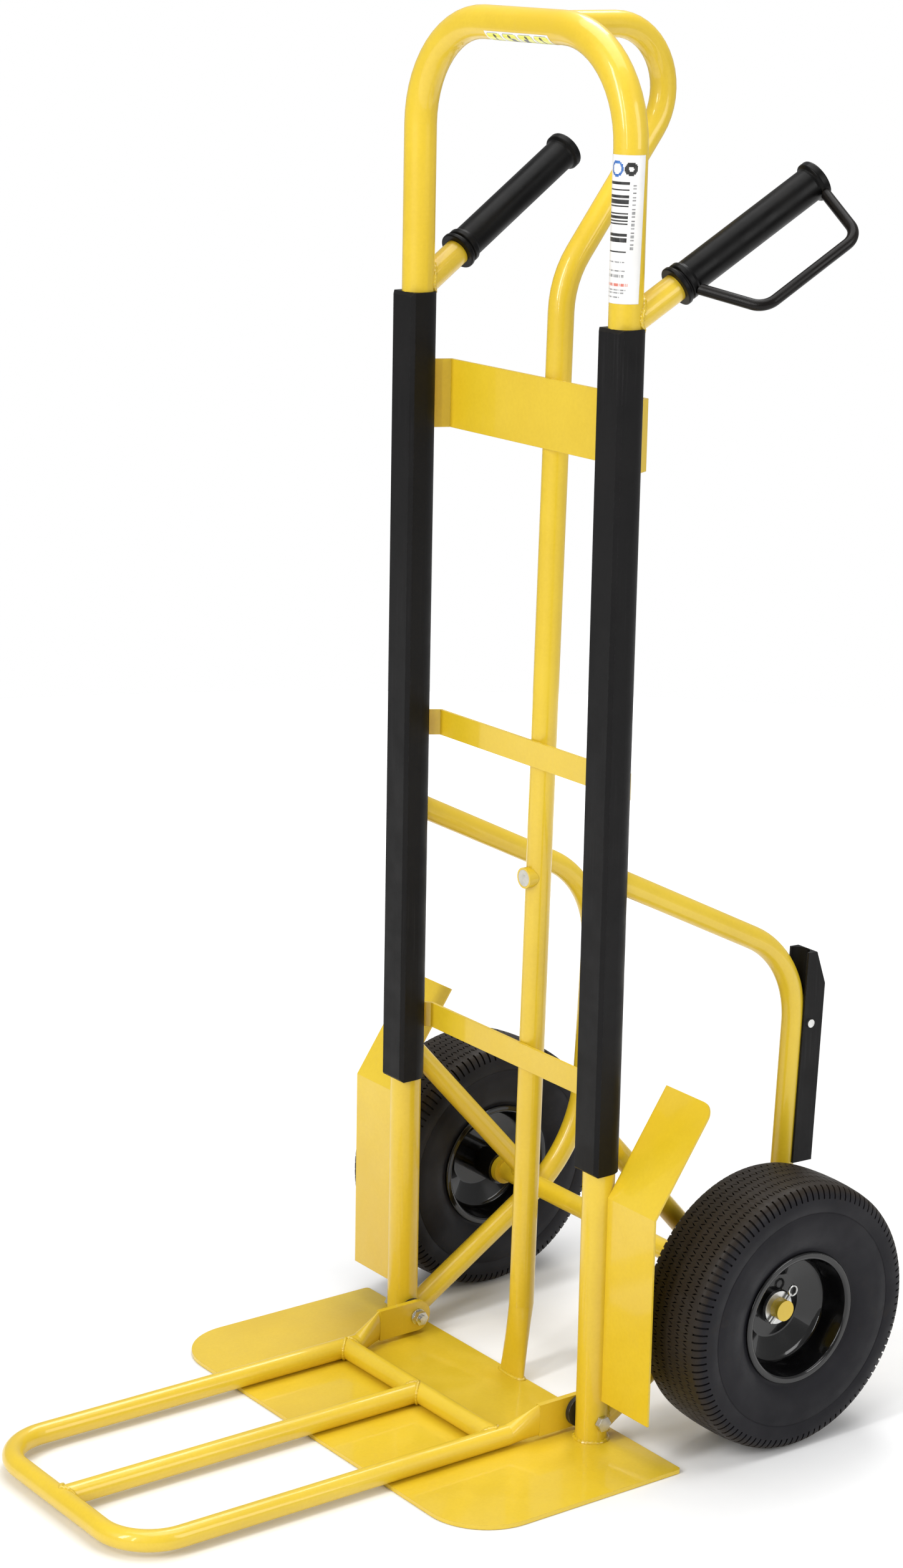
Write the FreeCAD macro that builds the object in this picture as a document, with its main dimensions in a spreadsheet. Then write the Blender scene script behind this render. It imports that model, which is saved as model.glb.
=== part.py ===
import FreeCAD, Part
import os
import re
from math import sin, tan

import Sketcher
from FreeCAD import Placement, Rotation, Vector

# Steel hand truck with a folding toe extension. Millimetres, +Z up.
# The origin is on the floor under the middle of the two uprights. +X is the truck's
# right when it is seen from the front, +Y points back towards the wheels, and the
# toe plate lies forwards, on the -Y side.

SIZES = {
    # Main frame: one tube bent into an upside-down U
    "overall_height": 1300,
    "upright_spacing": 304,
    "frame_tube": 30,
    "frame_corner": 95,
    "tube_wall": 2,
    # Toe plate under the uprights
    "plate_width": 502,
    "plate_front": 212.6,
    "plate_rear": 27.5,
    "plate_thickness": 4,
    "plate_front_corner": 60,
    "plate_rear_corner": 4,
    # Centre tube: leans back a little, then bends back and over into the top loop
    "centre_tube_size": 24,
    "centre_foot_y": 23,
    "centre_foot_width": 36,
    "centre_foot_thickness": 9,
    "centre_kink_y": 32.5,
    "centre_kink_height": 76,
    "centre_bend_y": 49.7,
    "centre_bend_height": 1061,
    "centre_bend_radius": 90,
    "loop_slope": 36.9,
    "loop_radius": 58,
    # Crossbars: flat bars between the uprights, ends bent forwards onto the tubes
    "bar_thickness": 3,
    "bar_bend_inset": 10,
    "bar_end_depth": 11,
    "upper_bar_bottom": 910,
    "upper_bar_depth": 64,
    "middle_bar_bottom": 613.5,
    "middle_bar_depth": 24.5,
    "lower_bar_bottom": 319.5,
    "lower_bar_depth": 24.5,
    # Wheels and axle
    "axle_back": 148,
    "axle_size": 20,
    "axle_overhang": 17.5,
    "wheel_size": 260,
    "tyre_width": 85,
    "wheel_offset": 80.5,
    "rim_mouth": 57,
    "rim_lip": 64,
    "rim_width": 76,
    "rim_mouth_round": 3,
    "rim_lip_round": 2,
    "rim_well": 52.5,
    "rim_well_round": 7,
    "rim_well_rise": 11,
    "rim_floor": 30,
    "rim_floor_round": 6,
    "rim_floor_offset": -1.5,
    "rim_sheet": 2.5,
    "tyre_wall": 8,
    "tread_edge": 9,
    "tread_drop": 2.5,
    "tread_round": 7,
    "shoulder_drop": 15,
    "shoulder_round": 12,
    "sidewall_rise": 15,
    "sidewall_round": 16,
    "bead_rise": 1.5,
    "bead_gap": 0.3,
    "air_space_bevel": 8,
    "air_space_round": 6,
    "air_space_low_round": 12,
    "hub_size": 34,
    "hub_wall": 4,
    "hub_outboard": 5.5,
    "hub_inboard": 46.5,
    "bearing_width": 9,
    "running_clearance": 0.05,
    "side_play": 0.4,
    "collar_size": 29,
    "collar_length": 7,
    "washer_size": 32,
    "washer_thickness": 2,
    "cotter_inset": 7,
    "cotter_size": 3,
    "cotter_length": 34,
    "cotter_eye": 4.75,
    "cotter_eye_rise": 3.5,
    "cotter_eye_wire": 1.2,
    "cotter_tilt": 45,
    "cotter_clearance": 0.2,
    # Skid rails behind the uprights and the braces down to the axle
    "rail_tube": 22,
    "rail_end_y": 6,
    "rail_top_y": 233,
    "rail_top_height": 433,
    "rail_top_slope": 26.5,
    "rail_top_radius": 100,
    "rail_low_y": 221.7,
    "rail_low_slope": 32,
    "rail_low_radius": 145,
    "brace_tube": 20,
    "brace_slope": 48,
    "brace_end_drop": 12,
    "brace_overrun": 8,
    "brace_start_y": 4,
    # Black skid strips on the rear of the rails
    "skid_strip_bottom": 232,
    "skid_strip_top": 440,
    "skid_strip_wall": 2.5,
    "skid_strip_front": 1.5,
    "skid_strip_rear": 25,
    "skid_strip_cut": 37,
    "skid_strip_lip": 12,
    "strip_clearance": 0.15,
    "screw_height": 370,
    "screw_back": 9.5,
    "screw_head": 8,
    "screw_head_height": 2,
    "screw_shank": 4,
    # Black guard strips on the front of the uprights
    "strip_bottom": 270,
    "strip_top": 1038,
    "strip_wall": 2.2,
    "strip_front_wall": 3,
    "strip_chamfer": 3.4,
    "strip_slot": 24,
    "strip_end_chamfer": 3,
    "strip_rear_flat": 0.2,
    "cutter_overrun": 1,
    # Sheet guards in front of the wheels
    "guard_sheet": 2,
    "guard_width": 67,
    "guard_bottom": 46,
    "guard_bend_height": 247,
    "guard_top_y": 65,
    "guard_top_height": 343,
    "guard_corner": 14,
    # Handles behind the uprights
    "handle_height": 1040,
    "handle_pitch": 32,
    "handle_splay": 7.7,
    "handle_tube": 25,
    "grip_start": 58,
    "grip_length": 168,
    "grip_size": 31,
    "grip_bead": 37,
    "grip_cap": 4,
    "grip_round": 1.2,
    "grip_step": 0.5,
    "grip_ring_end": 4,
    "grip_groove_start": 5.5,
    "grip_groove_end": 6.5,
    "grip_second_ring_drop": 1,
    "grip_second_ring_start": 7.5,
    "grip_second_ring_end": 12,
    "grip_barrel_start": 15,
    "grip_flare": 11,
    "grip_flare_root": 9,
    "grip_end_ring": 7,
    "grip_end_ring_round": 1.5,
    "grip_end_round": 2,
    "grip_fit": 0.05,
    "knuckle_bar": 10,
    "knuckle_angle": 30,
    "knuckle_reach": 74,
    "knuckle_low_end": 9.5,
    "knuckle_low_corner": 36,
    "knuckle_high_corner": 146,
    "knuckle_high_end": 163,
    "knuckle_radius": 18,
    # Magnet that holds the folded extension
    "magnet_height": 506,
    "magnet_face": 22.5,
    "magnet_cup_size": 20,
    "magnet_size": 16,
    "magnet_thickness": 4,
    # Toe extension: a tube loop that folds up between the uprights
    "extension_tube": 20,
    "extension_side": 122,
    "extension_reach": 480,
    "extension_corner": 50,
    "extension_rest_gap": 0.4,
    "extension_bar_inset": 89,
    "ear_thickness": 6,
    "ear_depth": 31,
    "ear_flat_start": 45,
    "ear_round_start": 76,
    "ear_end_flat": 1.2,
    "pinch_step": 0.1,
    "pivot_height": 24,
    "pivot_bolt": 8,
    "pivot_clearance": 0.08,
    "pivot_gap": 0.4,
    "spacer_size": 30,
    "bolt_head": 13,
    "bolt_head_height": 5.3,
    "bolt_tip": 3,
    "nut_height": 6.5,
    "pivot_washer_size": 16,
    "pivot_washer_thickness": 1.6,
}

SIDES = {"left": -1, "right": 1}
SMALLEST_CUT = 1e-3
SAME_PLACE = 1e-6

doc = FreeCAD.newDocument("HandTruck")
sheet = doc.addObject("Spreadsheet::Sheet", "Sizes")
for row, (alias, number) in enumerate(SIZES.items(), start=1):
    sheet.set(f"A{row}", alias)
    sheet.set(f"B{row}", str(number))
    sheet.setAlias(f"B{row}", alias)
doc.recompute()

ALIAS = re.compile(r"\b(" + "|".join(SIZES) + r")\b")

# Places that several pieces share, as formulas of the sheet.
UPRIGHT_X = "(upright_spacing / 2)"
AXLE_Z = "(wheel_size / 2)"
TOP_Z = "(overall_height - frame_tube / 2)"
STRIP_FRONT = "(frame_tube / 2 + strip_front_wall)"
CENTRE_LEAN = (
    "atan2(centre_bend_y - centre_kink_y; centre_bend_height - centre_kink_height)"
)
# The rail's low corner, where its lower slope passes just under the axle.
RAIL_LOW_Z = (
    f"({AXLE_Z} - (axle_size + rail_tube) / 2 / cos(rail_low_slope)"
    " + (rail_low_y - axle_back) * tan(rail_low_slope))"
)
RAIL_LEAN = f"atan2(rail_top_y - rail_low_y; rail_top_height - {RAIL_LOW_Z})"
EXTENSION_Z = "(plate_thickness + extension_rest_gap + extension_tube / 2)"
EAR_X = "(extension_side + extension_tube / 2 - ear_thickness / 2)"
WHEEL_X = f"({UPRIGHT_X} + wheel_offset)"
HUB_END_X = f"({WHEEL_X} + hub_outboard)"
AXLE_END_X = f"({WHEEL_X} + axle_overhang)"


def bound(formula):
    """Put the sheet's name before each alias of a formula."""
    return ALIAS.sub(r"Sizes.\1", str(formula))


def value(formula):
    """Work out a formula of the sheet's aliases as a plain number."""
    result = sheet.evalExpression(bound(formula))
    return float(getattr(result, "Value", result))


def centre_y(height):
    """Give the centre tube's Y at a height on its leaning straight, as a formula."""
    return f"(centre_kink_y + ({height} - centre_kink_height) * tan({CENTRE_LEAN}))"


def rail_y(height):
    """Give the rail's Y at a height on its rear straight, as a formula."""
    return f"(rail_top_y - (rail_top_height - ({height})) * tan({RAIL_LEAN}))"


def new_body(label):
    """Add an empty body for one sub-part."""
    body = doc.addObject("PartDesign::Body", label)
    body.Label = label
    return body


def new_sketch(body, role, base=(0, 0, 0), tilt=None, turn=None):
    """Add a sketch on an origin plane, moved by base and tilted about its own X axis."""
    plane = next(item for item in body.Origin.OriginFeatures if item.Role == role)
    sketch = body.newObject("Sketcher::SketchObject", f"{body.Name}_sketch")
    sketch.AttachmentSupport = (plane, [""])
    sketch.MapMode = "FlatFace"
    rotation = turn or Rotation()
    if tilt is not None:
        rotation = Rotation(Vector(1, 0, 0), value(tilt))
    sketch.AttachmentOffset = Placement(Vector(*map(value, base)), rotation)
    for axis, formula in zip("xyz", base):
        sketch.setExpression(f"AttachmentOffset.Base.{axis}", bound(formula))
    if tilt is not None:
        sketch.setExpression("AttachmentOffset.Rotation.Angle", bound(tilt))
    return sketch


def dimension(sketch, kind, *where_and_formula):
    """Add a dimension that the sheet drives; the last argument is its formula."""
    *where, formula = where_and_formula
    index = sketch.addConstraint(Sketcher.Constraint(kind, *where, value(formula)))
    sketch.setExpression(f"Constraints[{index}]", bound(formula))


def fix_point(sketch, index, position, x, y):
    """Hold a point of a sketch at (x, y) from the sketch's origin."""
    dimension(sketch, "DistanceX", -1, 1, index, position, x)
    dimension(sketch, "DistanceY", -1, 1, index, position, y)


def circle(sketch, x, y, radius):
    """Draw a dimensioned circle."""
    centre = Vector(value(x), value(y))
    index = sketch.addGeometry(Part.Circle(centre, Vector(0, 0, 1), value(radius)))
    fix_point(sketch, index, 3, x, y)
    dimension(sketch, "Radius", index, radius)


def ellipse(sketch, x, y, half_x, half_y):
    """Draw a dimensioned ellipse with its axes along the sketch's axes."""
    centre = Vector(value(x), value(y))
    wide = value(half_x) > value(half_y)
    long_end = Vector(value(half_x), 0) if wide else Vector(0, value(half_y))
    short_end = Vector(0, value(half_y)) if wide else Vector(-value(half_x), 0)
    shape = Part.Ellipse(centre + long_end, centre + short_end, centre)
    index = sketch.addGeometry(shape)
    sketch.exposeInternalGeometry(index)
    fix_point(sketch, index, 3, x, y)
    long_axis, short_axis = index + 1, index + 2
    sketch.addConstraint(Sketcher.Constraint("Horizontal" if wide else "Vertical", long_axis))
    dimension(sketch, "Distance", long_axis, f"2 * ({half_x if wide else half_y})")
    dimension(sketch, "Distance", short_axis, f"2 * ({half_y if wide else half_x})")


def corner_arc(before, corner, after, radius):
    """Give the points where a rounding starts and ends, its middle and if it turns left."""
    to_before = (before - corner).normalize()
    to_after = (after - corner).normalize()
    half_angle = to_before.getAngle(to_after) / 2
    start = corner + to_before * (radius / tan(half_angle))
    end = corner + to_after * (radius / tan(half_angle))
    inward = (to_before + to_after).normalize()
    centre = corner + inward * (radius / sin(half_angle))
    middle = centre - inward * radius
    turns_left = to_before.cross(to_after).z < 0
    return start, middle, end, turns_left


def outline(sketch, corners, closed=True):
    """Draw straight edges from corner to corner, rounded where a corner has a radius.

    A corner is (x, y) or (x, y, radius), and each entry is a formula of the sheet.
    """
    count = len(corners)
    points = [Vector(value(corner[0]), value(corner[1])) for corner in corners]
    entries, exits, arcs = list(points), list(points), {}
    for i, corner in enumerate(corners):
        if len(corner) == 3:
            before, after = points[i - 1], points[(i + 1) % count]
            start, middle, end, turns_left = corner_arc(before, points[i], after, value(corner[2]))
            entries[i], exits[i] = start, end
            arc = Part.Arc(start, middle, end) if turns_left else Part.Arc(end, middle, start)
            arcs[i] = (sketch.addGeometry(arc), turns_left)
    last = count if closed else count - 1
    lines = [
        sketch.addGeometry(Part.LineSegment(exits[i], entries[(i + 1) % count]))
        for i in range(last)
    ]
    for i, corner in enumerate(corners):
        line_in = lines[i - 1] if closed or i > 0 else None
        line_out = lines[i] if i < last else None
        if i in arcs:
            arc, turns_left = arcs[i]
            first, second = (1, 2) if turns_left else (2, 1)
            sketch.addConstraint(Sketcher.Constraint("Tangent", line_in, 2, arc, first))
            sketch.addConstraint(Sketcher.Constraint("Tangent", arc, second, line_out, 1))
            mark = sketch.addGeometry(Part.Point(points[i]), True)
            sketch.addConstraint(Sketcher.Constraint("PointOnObject", mark, 1, line_in))
            sketch.addConstraint(Sketcher.Constraint("PointOnObject", mark, 1, line_out))
            fix_point(sketch, mark, 1, corner[0], corner[1])
            dimension(sketch, "Radius", arc, corner[2])
            continue
        if line_in is not None and line_out is not None:
            sketch.addConstraint(Sketcher.Constraint("Coincident", line_in, 2, line_out, 1))
        if line_out is not None:
            fix_point(sketch, line_out, 1, corner[0], corner[1])
        else:
            fix_point(sketch, line_in, 2, corner[0], corner[1])


def box_outline(sketch, low_x, high_x, low_y, high_y):
    """Draw a dimensioned rectangle."""
    outline(sketch, [(low_x, low_y), (high_x, low_y), (high_x, high_y), (low_x, high_y)])


def pad(body, sketch, length, reverse=False, both_ways=False):
    """Thicken a sketch into a solid."""
    feature = body.newObject("PartDesign::Pad", f"{body.Name}_pad")
    feature.Profile = sketch
    feature.Reversed = reverse
    feature.Midplane = both_ways
    feature.setExpression("Length", bound(length))
    doc.recompute()
    return feature


def pocket_through(body, sketch):
    """Cut a sketch's outline right through the body, both ways."""
    solid_before = body.Shape.Volume
    feature = body.newObject("PartDesign::Pocket", f"{body.Name}_pocket")
    feature.Profile = sketch
    feature.Type = "ThroughAll"
    feature.Midplane = True
    doc.recompute()
    if body.Shape.Volume > solid_before - SMALLEST_CUT:
        raise ValueError(f"{feature.Name} cuts nothing")


def revolve(body, sketch, axis="H_Axis"):
    """Turn a sketch a full round about one of its own axes."""
    feature = body.newObject("PartDesign::Revolution", f"{body.Name}_turning")
    feature.Profile = sketch
    feature.ReferenceAxis = (sketch, [axis])
    feature.Angle = 360
    doc.recompute()


def loft(body, first, second):
    """Join two sketches with a smooth solid."""
    feature = body.newObject("PartDesign::AdditiveLoft", f"{body.Name}_loft")
    feature.Profile = first
    feature.Sections = [second]
    doc.recompute()


def sweep(body, section, path):
    """Carry a section along every edge of a path."""
    doc.recompute()
    feature = body.newObject("PartDesign::AdditivePipe", f"{body.Name}_pipe")
    feature.Profile = section
    feature.Spine = (path, [f"Edge{i + 1}" for i in range(len(path.Shape.Edges))])
    doc.recompute()


def tube_section(sketch, size, wall):
    """Draw the round section of a tube, or of a solid bar if it has no wall."""
    circle(sketch, 0, 0, f"({size}) / 2")
    if wall:
        circle(sketch, 0, 0, f"({size}) / 2 - ({wall})")


def side_tube(body, x, corners, size, wall="tube_wall"):
    """Bend a tube in the plane at X = x through corners (y, z) or (y, z, radius)."""
    path = new_sketch(body, "YZ_Plane", base=(0, 0, x))
    outline(path, corners, closed=False)
    (y0, z0), (y1, z1) = corners[0], corners[1][:2]
    heading = f"atan2(({z1}) - ({z0}); ({y1}) - ({y0}))"
    section = new_sketch(body, "XZ_Plane", base=(x, z0, f"-({y0})"), tilt=heading)
    tube_section(section, size, wall)
    sweep(body, section, path)


def cut_upright(body, side):
    """Fit a piece against the outside of one upright."""
    cutter = new_sketch(body, "XY_Plane")
    circle(cutter, f"{side} * {UPRIGHT_X}", 0, "frame_tube / 2")
    pocket_through(body, cutter)


def disc(body, x, y, z, size, length, bore=None):
    """Add a round disc about a line along X, starting at x and growing along +X."""
    face = new_sketch(body, "YZ_Plane", base=(0, 0, x))
    circle(face, y, z, f"({size}) / 2")
    if bore:
        circle(face, y, z, f"({bore}) / 2")
    return pad(body, face, length)


def outward(side, near, length):
    """Give the lower X of a stretch that starts at near and runs outwards on a side."""
    return f"({near})" if side > 0 else f"(-({near}) - ({length}))"


def make_main_frame():
    """Bend the main tube and drill it for the extension's pivot bolts."""
    body = new_body("main_frame_tube")
    path = new_sketch(body, "XZ_Plane")
    corners = [
        (f"-{UPRIGHT_X}", "plate_thickness"),
        (f"-{UPRIGHT_X}", TOP_Z, "frame_corner"),
        (UPRIGHT_X, TOP_Z, "frame_corner"),
        (UPRIGHT_X, "plate_thickness"),
    ]
    outline(path, corners, closed=False)
    section = new_sketch(body, "XY_Plane", base=(f"-{UPRIGHT_X}", 0, "plate_thickness"))
    tube_section(section, "frame_tube", "tube_wall")
    sweep(body, section, path)
    hole = new_sketch(body, "YZ_Plane")
    circle(hole, 0, "pivot_height", "pivot_bolt / 2 + pivot_clearance")
    pocket_through(body, hole)


def make_toe_plate():
    """Cut the toe plate, with large front corners and small rear ones."""
    body = new_body("toe_plate")
    face = new_sketch(body, "XY_Plane")
    corners = [
        ("-plate_width / 2", "-plate_front", "plate_front_corner"),
        ("plate_width / 2", "-plate_front", "plate_front_corner"),
        ("plate_width / 2", "plate_rear", "plate_rear_corner"),
        ("-plate_width / 2", "plate_rear", "plate_rear_corner"),
    ]
    outline(face, corners)
    pad(body, face, "plate_thickness")


def make_centre_tube():
    """Bend the centre tube, pinch its foot flat and fit its top end to the top bar."""
    body = new_body("centre_tube")
    loop_corner_y = f"(centre_bend_y + ({TOP_Z} - centre_bend_height) * tan(loop_slope))"
    corners = [
        ("centre_kink_y", "centre_kink_height"),
        ("centre_bend_y", "centre_bend_height", "centre_bend_radius"),
        (loop_corner_y, TOP_Z, "loop_radius"),
        (0, TOP_Z),
    ]
    side_tube(body, 0, corners, "centre_tube_size")
    kink = (0, "centre_kink_y", "centre_kink_height")
    top = new_sketch(body, "XY_Plane", base=kink, tilt=f"-{CENTRE_LEAN}")
    circle(top, 0, 0, "centre_tube_size / 2 - pinch_step")
    foot = new_sketch(body, "XY_Plane", base=(0, 0, "plate_thickness"))
    ellipse(foot, 0, "centre_foot_y", "centre_foot_width / 2", "centre_foot_thickness / 2")
    loft(body, top, foot)
    top_bar = new_sketch(body, "YZ_Plane")
    circle(top_bar, 0, TOP_Z, "frame_tube / 2")
    pocket_through(body, top_bar)


def make_crossbar(name, bottom, depth):
    """Bend a flat bar that rests against the centre tube and the backs of the uprights."""
    body = new_body(f"{name}_crossbar")
    front = f"({centre_y(bottom)} - centre_tube_size / 2 / cos({CENTRE_LEAN}) - bar_thickness)"
    bend_x = f"({UPRIGHT_X} - bar_bend_inset)"
    turn = f"atan2({front} - bar_end_depth; bar_bend_inset)"
    rear_bend_x = f"({bend_x} + bar_thickness * tan({turn} / 2))"
    rear_end_x = f"({UPRIGHT_X} + bar_thickness * sin({turn}))"
    rear_end_y = f"(bar_end_depth + bar_thickness * cos({turn}))"
    right_half = [
        (rear_end_x, rear_end_y),
        (UPRIGHT_X, "bar_end_depth"),
        (bend_x, front),
        (rear_bend_x, f"{front} + bar_thickness"),
    ]
    front_edge = [right_half[0], right_half[1], right_half[2]]
    mirrored = [(f"-({x})", y) for x, y in right_half]
    face = new_sketch(body, "XY_Plane", base=(0, 0, bottom))
    outline(face, front_edge + [mirrored[2], mirrored[1], mirrored[0], mirrored[3], right_half[3]])
    pad(body, face, depth)
    for side in SIDES.values():
        cut_upright(body, side)


def make_skid_rail(name, side):
    """Bend one skid rail, from the back of the upright down, under the axle and to the foot."""
    body = new_body(f"{name}_skid_rail")
    start_z = "(rail_top_height + (rail_top_y - rail_end_y) * tan(rail_top_slope))"
    end_z = f"({RAIL_LOW_Z} - (rail_low_y - rail_end_y) * tan(rail_low_slope))"
    corners = [
        ("rail_end_y", start_z),
        ("rail_top_y", "rail_top_height", "rail_top_radius"),
        ("rail_low_y", RAIL_LOW_Z, "rail_low_radius"),
        ("rail_end_y", end_z),
    ]
    side_tube(body, f"{side} * {UPRIGHT_X}", corners, "rail_tube")
    cut_upright(body, side)


def make_axle_brace(name, side):
    """Cut one brace, which slopes from the upright to the top of the axle."""
    body = new_body(f"{name}_axle_brace")
    end_y = "(axle_back + brace_overrun * cos(brace_slope))"
    end_z = f"({AXLE_Z} + brace_end_drop - brace_overrun * sin(brace_slope))"
    start_z = f"({end_z} + ({end_y} - brace_start_y) * tan(brace_slope))"
    corners = [("brace_start_y", start_z), (end_y, end_z)]
    side_tube(body, f"{side} * {UPRIGHT_X}", corners, "brace_tube")
    cut_upright(body, side)
    axle = new_sketch(body, "YZ_Plane")
    circle(axle, "axle_back", AXLE_Z, "axle_size / 2")
    pocket_through(body, axle)


def cotter_x(side):
    """Give the X of one cotter pin, as a formula."""
    return f"({side} * ({AXLE_END_X} - cotter_inset))"


def make_axle():
    """Turn the axle and drill it at both ends for the cotter pins."""
    body = new_body("axle")
    disc(body, f"-{AXLE_END_X}", "axle_back", AXLE_Z, "axle_size", f"2 * {AXLE_END_X}")
    # The pins' line leans back from vertical, so the drilling plane leans with it.
    reach = "(axle_back * sin(cotter_tilt) - wheel_size / 2 * cos(cotter_tilt))"
    for side in SIDES.values():
        hole = new_sketch(body, "XY_Plane", tilt="-cotter_tilt")
        across = f"(axle_back * cos(cotter_tilt) - {AXLE_Z} * sin(cotter_tilt))"
        circle(hole, cotter_x(side), across, "cotter_size / 2 + cotter_clearance")
        pocket_through(body, hole)


def make_axle_fittings(name, side):
    """Make the collar, the outer washer and the cotter pin of one wheel."""
    bore = "axle_size"
    collar = new_body(f"{name}_axle_collar")
    collar_start = f"{WHEEL_X} - hub_inboard - side_play - collar_length"
    disc(collar, outward(side, collar_start, "collar_length"), "axle_back", AXLE_Z,
         "collar_size", "collar_length", bore)
    washer = new_body(f"{name}_axle_washer")
    washer_start = f"{HUB_END_X} + side_play"
    disc(washer, outward(side, washer_start, "washer_thickness"), "axle_back", AXLE_Z,
         "washer_size", "washer_thickness", bore)
    make_cotter(name, side)


def make_cotter(name, side):
    """Make one cotter pin: a straight shank with a ring eye, fused."""
    axle_centre = Vector(value(cotter_x(side)), value("axle_back"), value(AXLE_Z))
    lean = Rotation(Vector(1, 0, 0), -value("cotter_tilt"))
    up = lean.multVec(Vector(0, 0, 1))
    half = value("cotter_length / 2")
    shank = doc.addObject("Part::Cylinder", f"{name}_cotter_shank")
    shank.setExpression("Radius", bound("cotter_size / 2"))
    shank.setExpression("Height", bound("cotter_length"))
    shank.Placement = Placement(axle_centre - up * half, lean)
    eye = doc.addObject("Part::Torus", f"{name}_cotter_eye")
    eye.setExpression("Radius1", bound("cotter_eye"))
    eye.setExpression("Radius2", bound("cotter_eye_wire"))
    eye_turn = Rotation(Vector(0, 1, 0), 90)
    eye_centre = axle_centre + up * (half + value("cotter_eye_rise"))
    eye.Placement = Placement(eye_centre, lean * eye_turn)
    pin = doc.addObject("Part::Fuse", f"{name}_cotter_pin")
    pin.Label = f"{name}_cotter_pin"
    pin.Base = shank
    pin.Tool = eye
    doc.recompute()


def make_skid_strip(name, side):
    """Cut one black channel that hugs the rear of a skid rail's straight, with its screw."""
    upright = f"({side} * {UPRIGHT_X})"
    half_width = "(rail_tube / 2 + skid_strip_wall)"
    bore = "(rail_tube / 2 + strip_clearance)"
    strip = new_body(f"{name}_skid_strip")
    base = (0, rail_y("skid_strip_bottom"), "skid_strip_bottom")
    face = new_sketch(strip, "XY_Plane", base=base, tilt=f"-{RAIL_LEAN}")
    x_low, x_high = f"{upright} - {half_width}", f"{upright} + {half_width}"
    box_outline(face, x_low, x_high, "skid_strip_front", "skid_strip_rear")
    pad(strip, face, f"(skid_strip_top - skid_strip_bottom) / cos({RAIL_LEAN})")
    groove = new_sketch(strip, "XY_Plane", base=base, tilt=f"-{RAIL_LEAN}")
    circle(groove, upright, 0, bore)
    pocket_through(strip, groove)
    make_strip_top_cut(strip)
    head_x = f"({UPRIGHT_X} + {half_width})"
    screw_y = f"({rail_y('screw_height')} + screw_back)"
    hole = new_sketch(strip, "YZ_Plane", base=(0, 0, f"{side} * ({head_x} - skid_strip_wall / 2)"))
    circle(hole, screw_y, "screw_height", "screw_shank / 2")
    cut = strip.newObject("PartDesign::Pocket", f"{strip.Name}_screw_hole")
    cut.Profile = hole
    cut.Reversed = side > 0
    cut.setExpression("Length", bound("skid_strip_wall"))
    doc.recompute()
    screw = new_body(f"{name}_skid_strip_screw")
    shank_start = f"{head_x} - skid_strip_wall / 2"
    disc(screw, outward(side, shank_start, "skid_strip_wall / 2"), screw_y, "screw_height",
         "screw_shank", "skid_strip_wall / 2")
    disc(screw, outward(side, head_x, "screw_head_height"), screw_y, "screw_height",
         "screw_head", "screw_head_height")


def make_strip_top_cut(strip):
    """Slope the rear corner of a skid strip's top end."""
    cutter = new_sketch(strip, "YZ_Plane")
    top_y = rail_y("skid_strip_top")
    corners = [
        (f"{top_y} + skid_strip_lip", "skid_strip_top + skid_strip_cut"),
        (f"{top_y} + skid_strip_lip", "skid_strip_top"),
        (f"{top_y} + skid_strip_rear", "skid_strip_top - skid_strip_cut"),
        (f"{top_y} + 2 * skid_strip_rear", "skid_strip_top - skid_strip_cut"),
        (f"{top_y} + 2 * skid_strip_rear", "skid_strip_top + skid_strip_cut"),
    ]
    outline(cutter, corners)
    pocket_through(strip, cutter)


def make_upright_strip(name, side):
    """Extrude one black guard strip, flat in front and clipped round the tube behind."""
    centre_x = f"{side} * {UPRIGHT_X}"
    half = "(frame_tube / 2 + strip_wall)"
    body = new_body(f"{name}_upright_strip")
    face = new_sketch(body, "XY_Plane", base=(centre_x, 0, "strip_bottom"))
    corners = [
        (f"strip_chamfer - {half}", f"-{STRIP_FRONT}"),
        (f"{half} - strip_chamfer", f"-{STRIP_FRONT}"),
        (half, f"strip_chamfer - {STRIP_FRONT}"),
        (half, half, f"{half} - strip_rear_flat"),
        (f"-{half}", half, f"{half} - strip_rear_flat"),
        (f"-{half}", f"strip_chamfer - {STRIP_FRONT}"),
    ]
    outline(face, corners)
    length = "(strip_top - strip_bottom)"
    pad(body, face, length)
    bore = new_sketch(body, "XY_Plane", base=(centre_x, 0, 0))
    circle(bore, 0, 0, "frame_tube / 2 + strip_clearance")
    pocket_through(body, bore)
    slot = new_sketch(body, "XY_Plane", base=(centre_x, 0, 0))
    box_outline(slot, "-strip_slot / 2", "strip_slot / 2", "frame_tube / 4", "frame_tube")
    pocket_through(body, slot)
    for end, inward in (("strip_bottom", 1), ("strip_top", -1)):
        bevel = new_sketch(body, "YZ_Plane")
        front = f"(-{STRIP_FRONT} - cutter_overrun)"
        beyond = f"({end} - {inward} * cutter_overrun)"
        corners = [
            (front, beyond),
            (f"{front} + 2 * cutter_overrun + strip_end_chamfer", beyond),
            (front, f"{end} + {inward} * (cutter_overrun + strip_end_chamfer)"),
        ]
        outline(bevel, corners)
        pocket_through(body, bevel)


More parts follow.
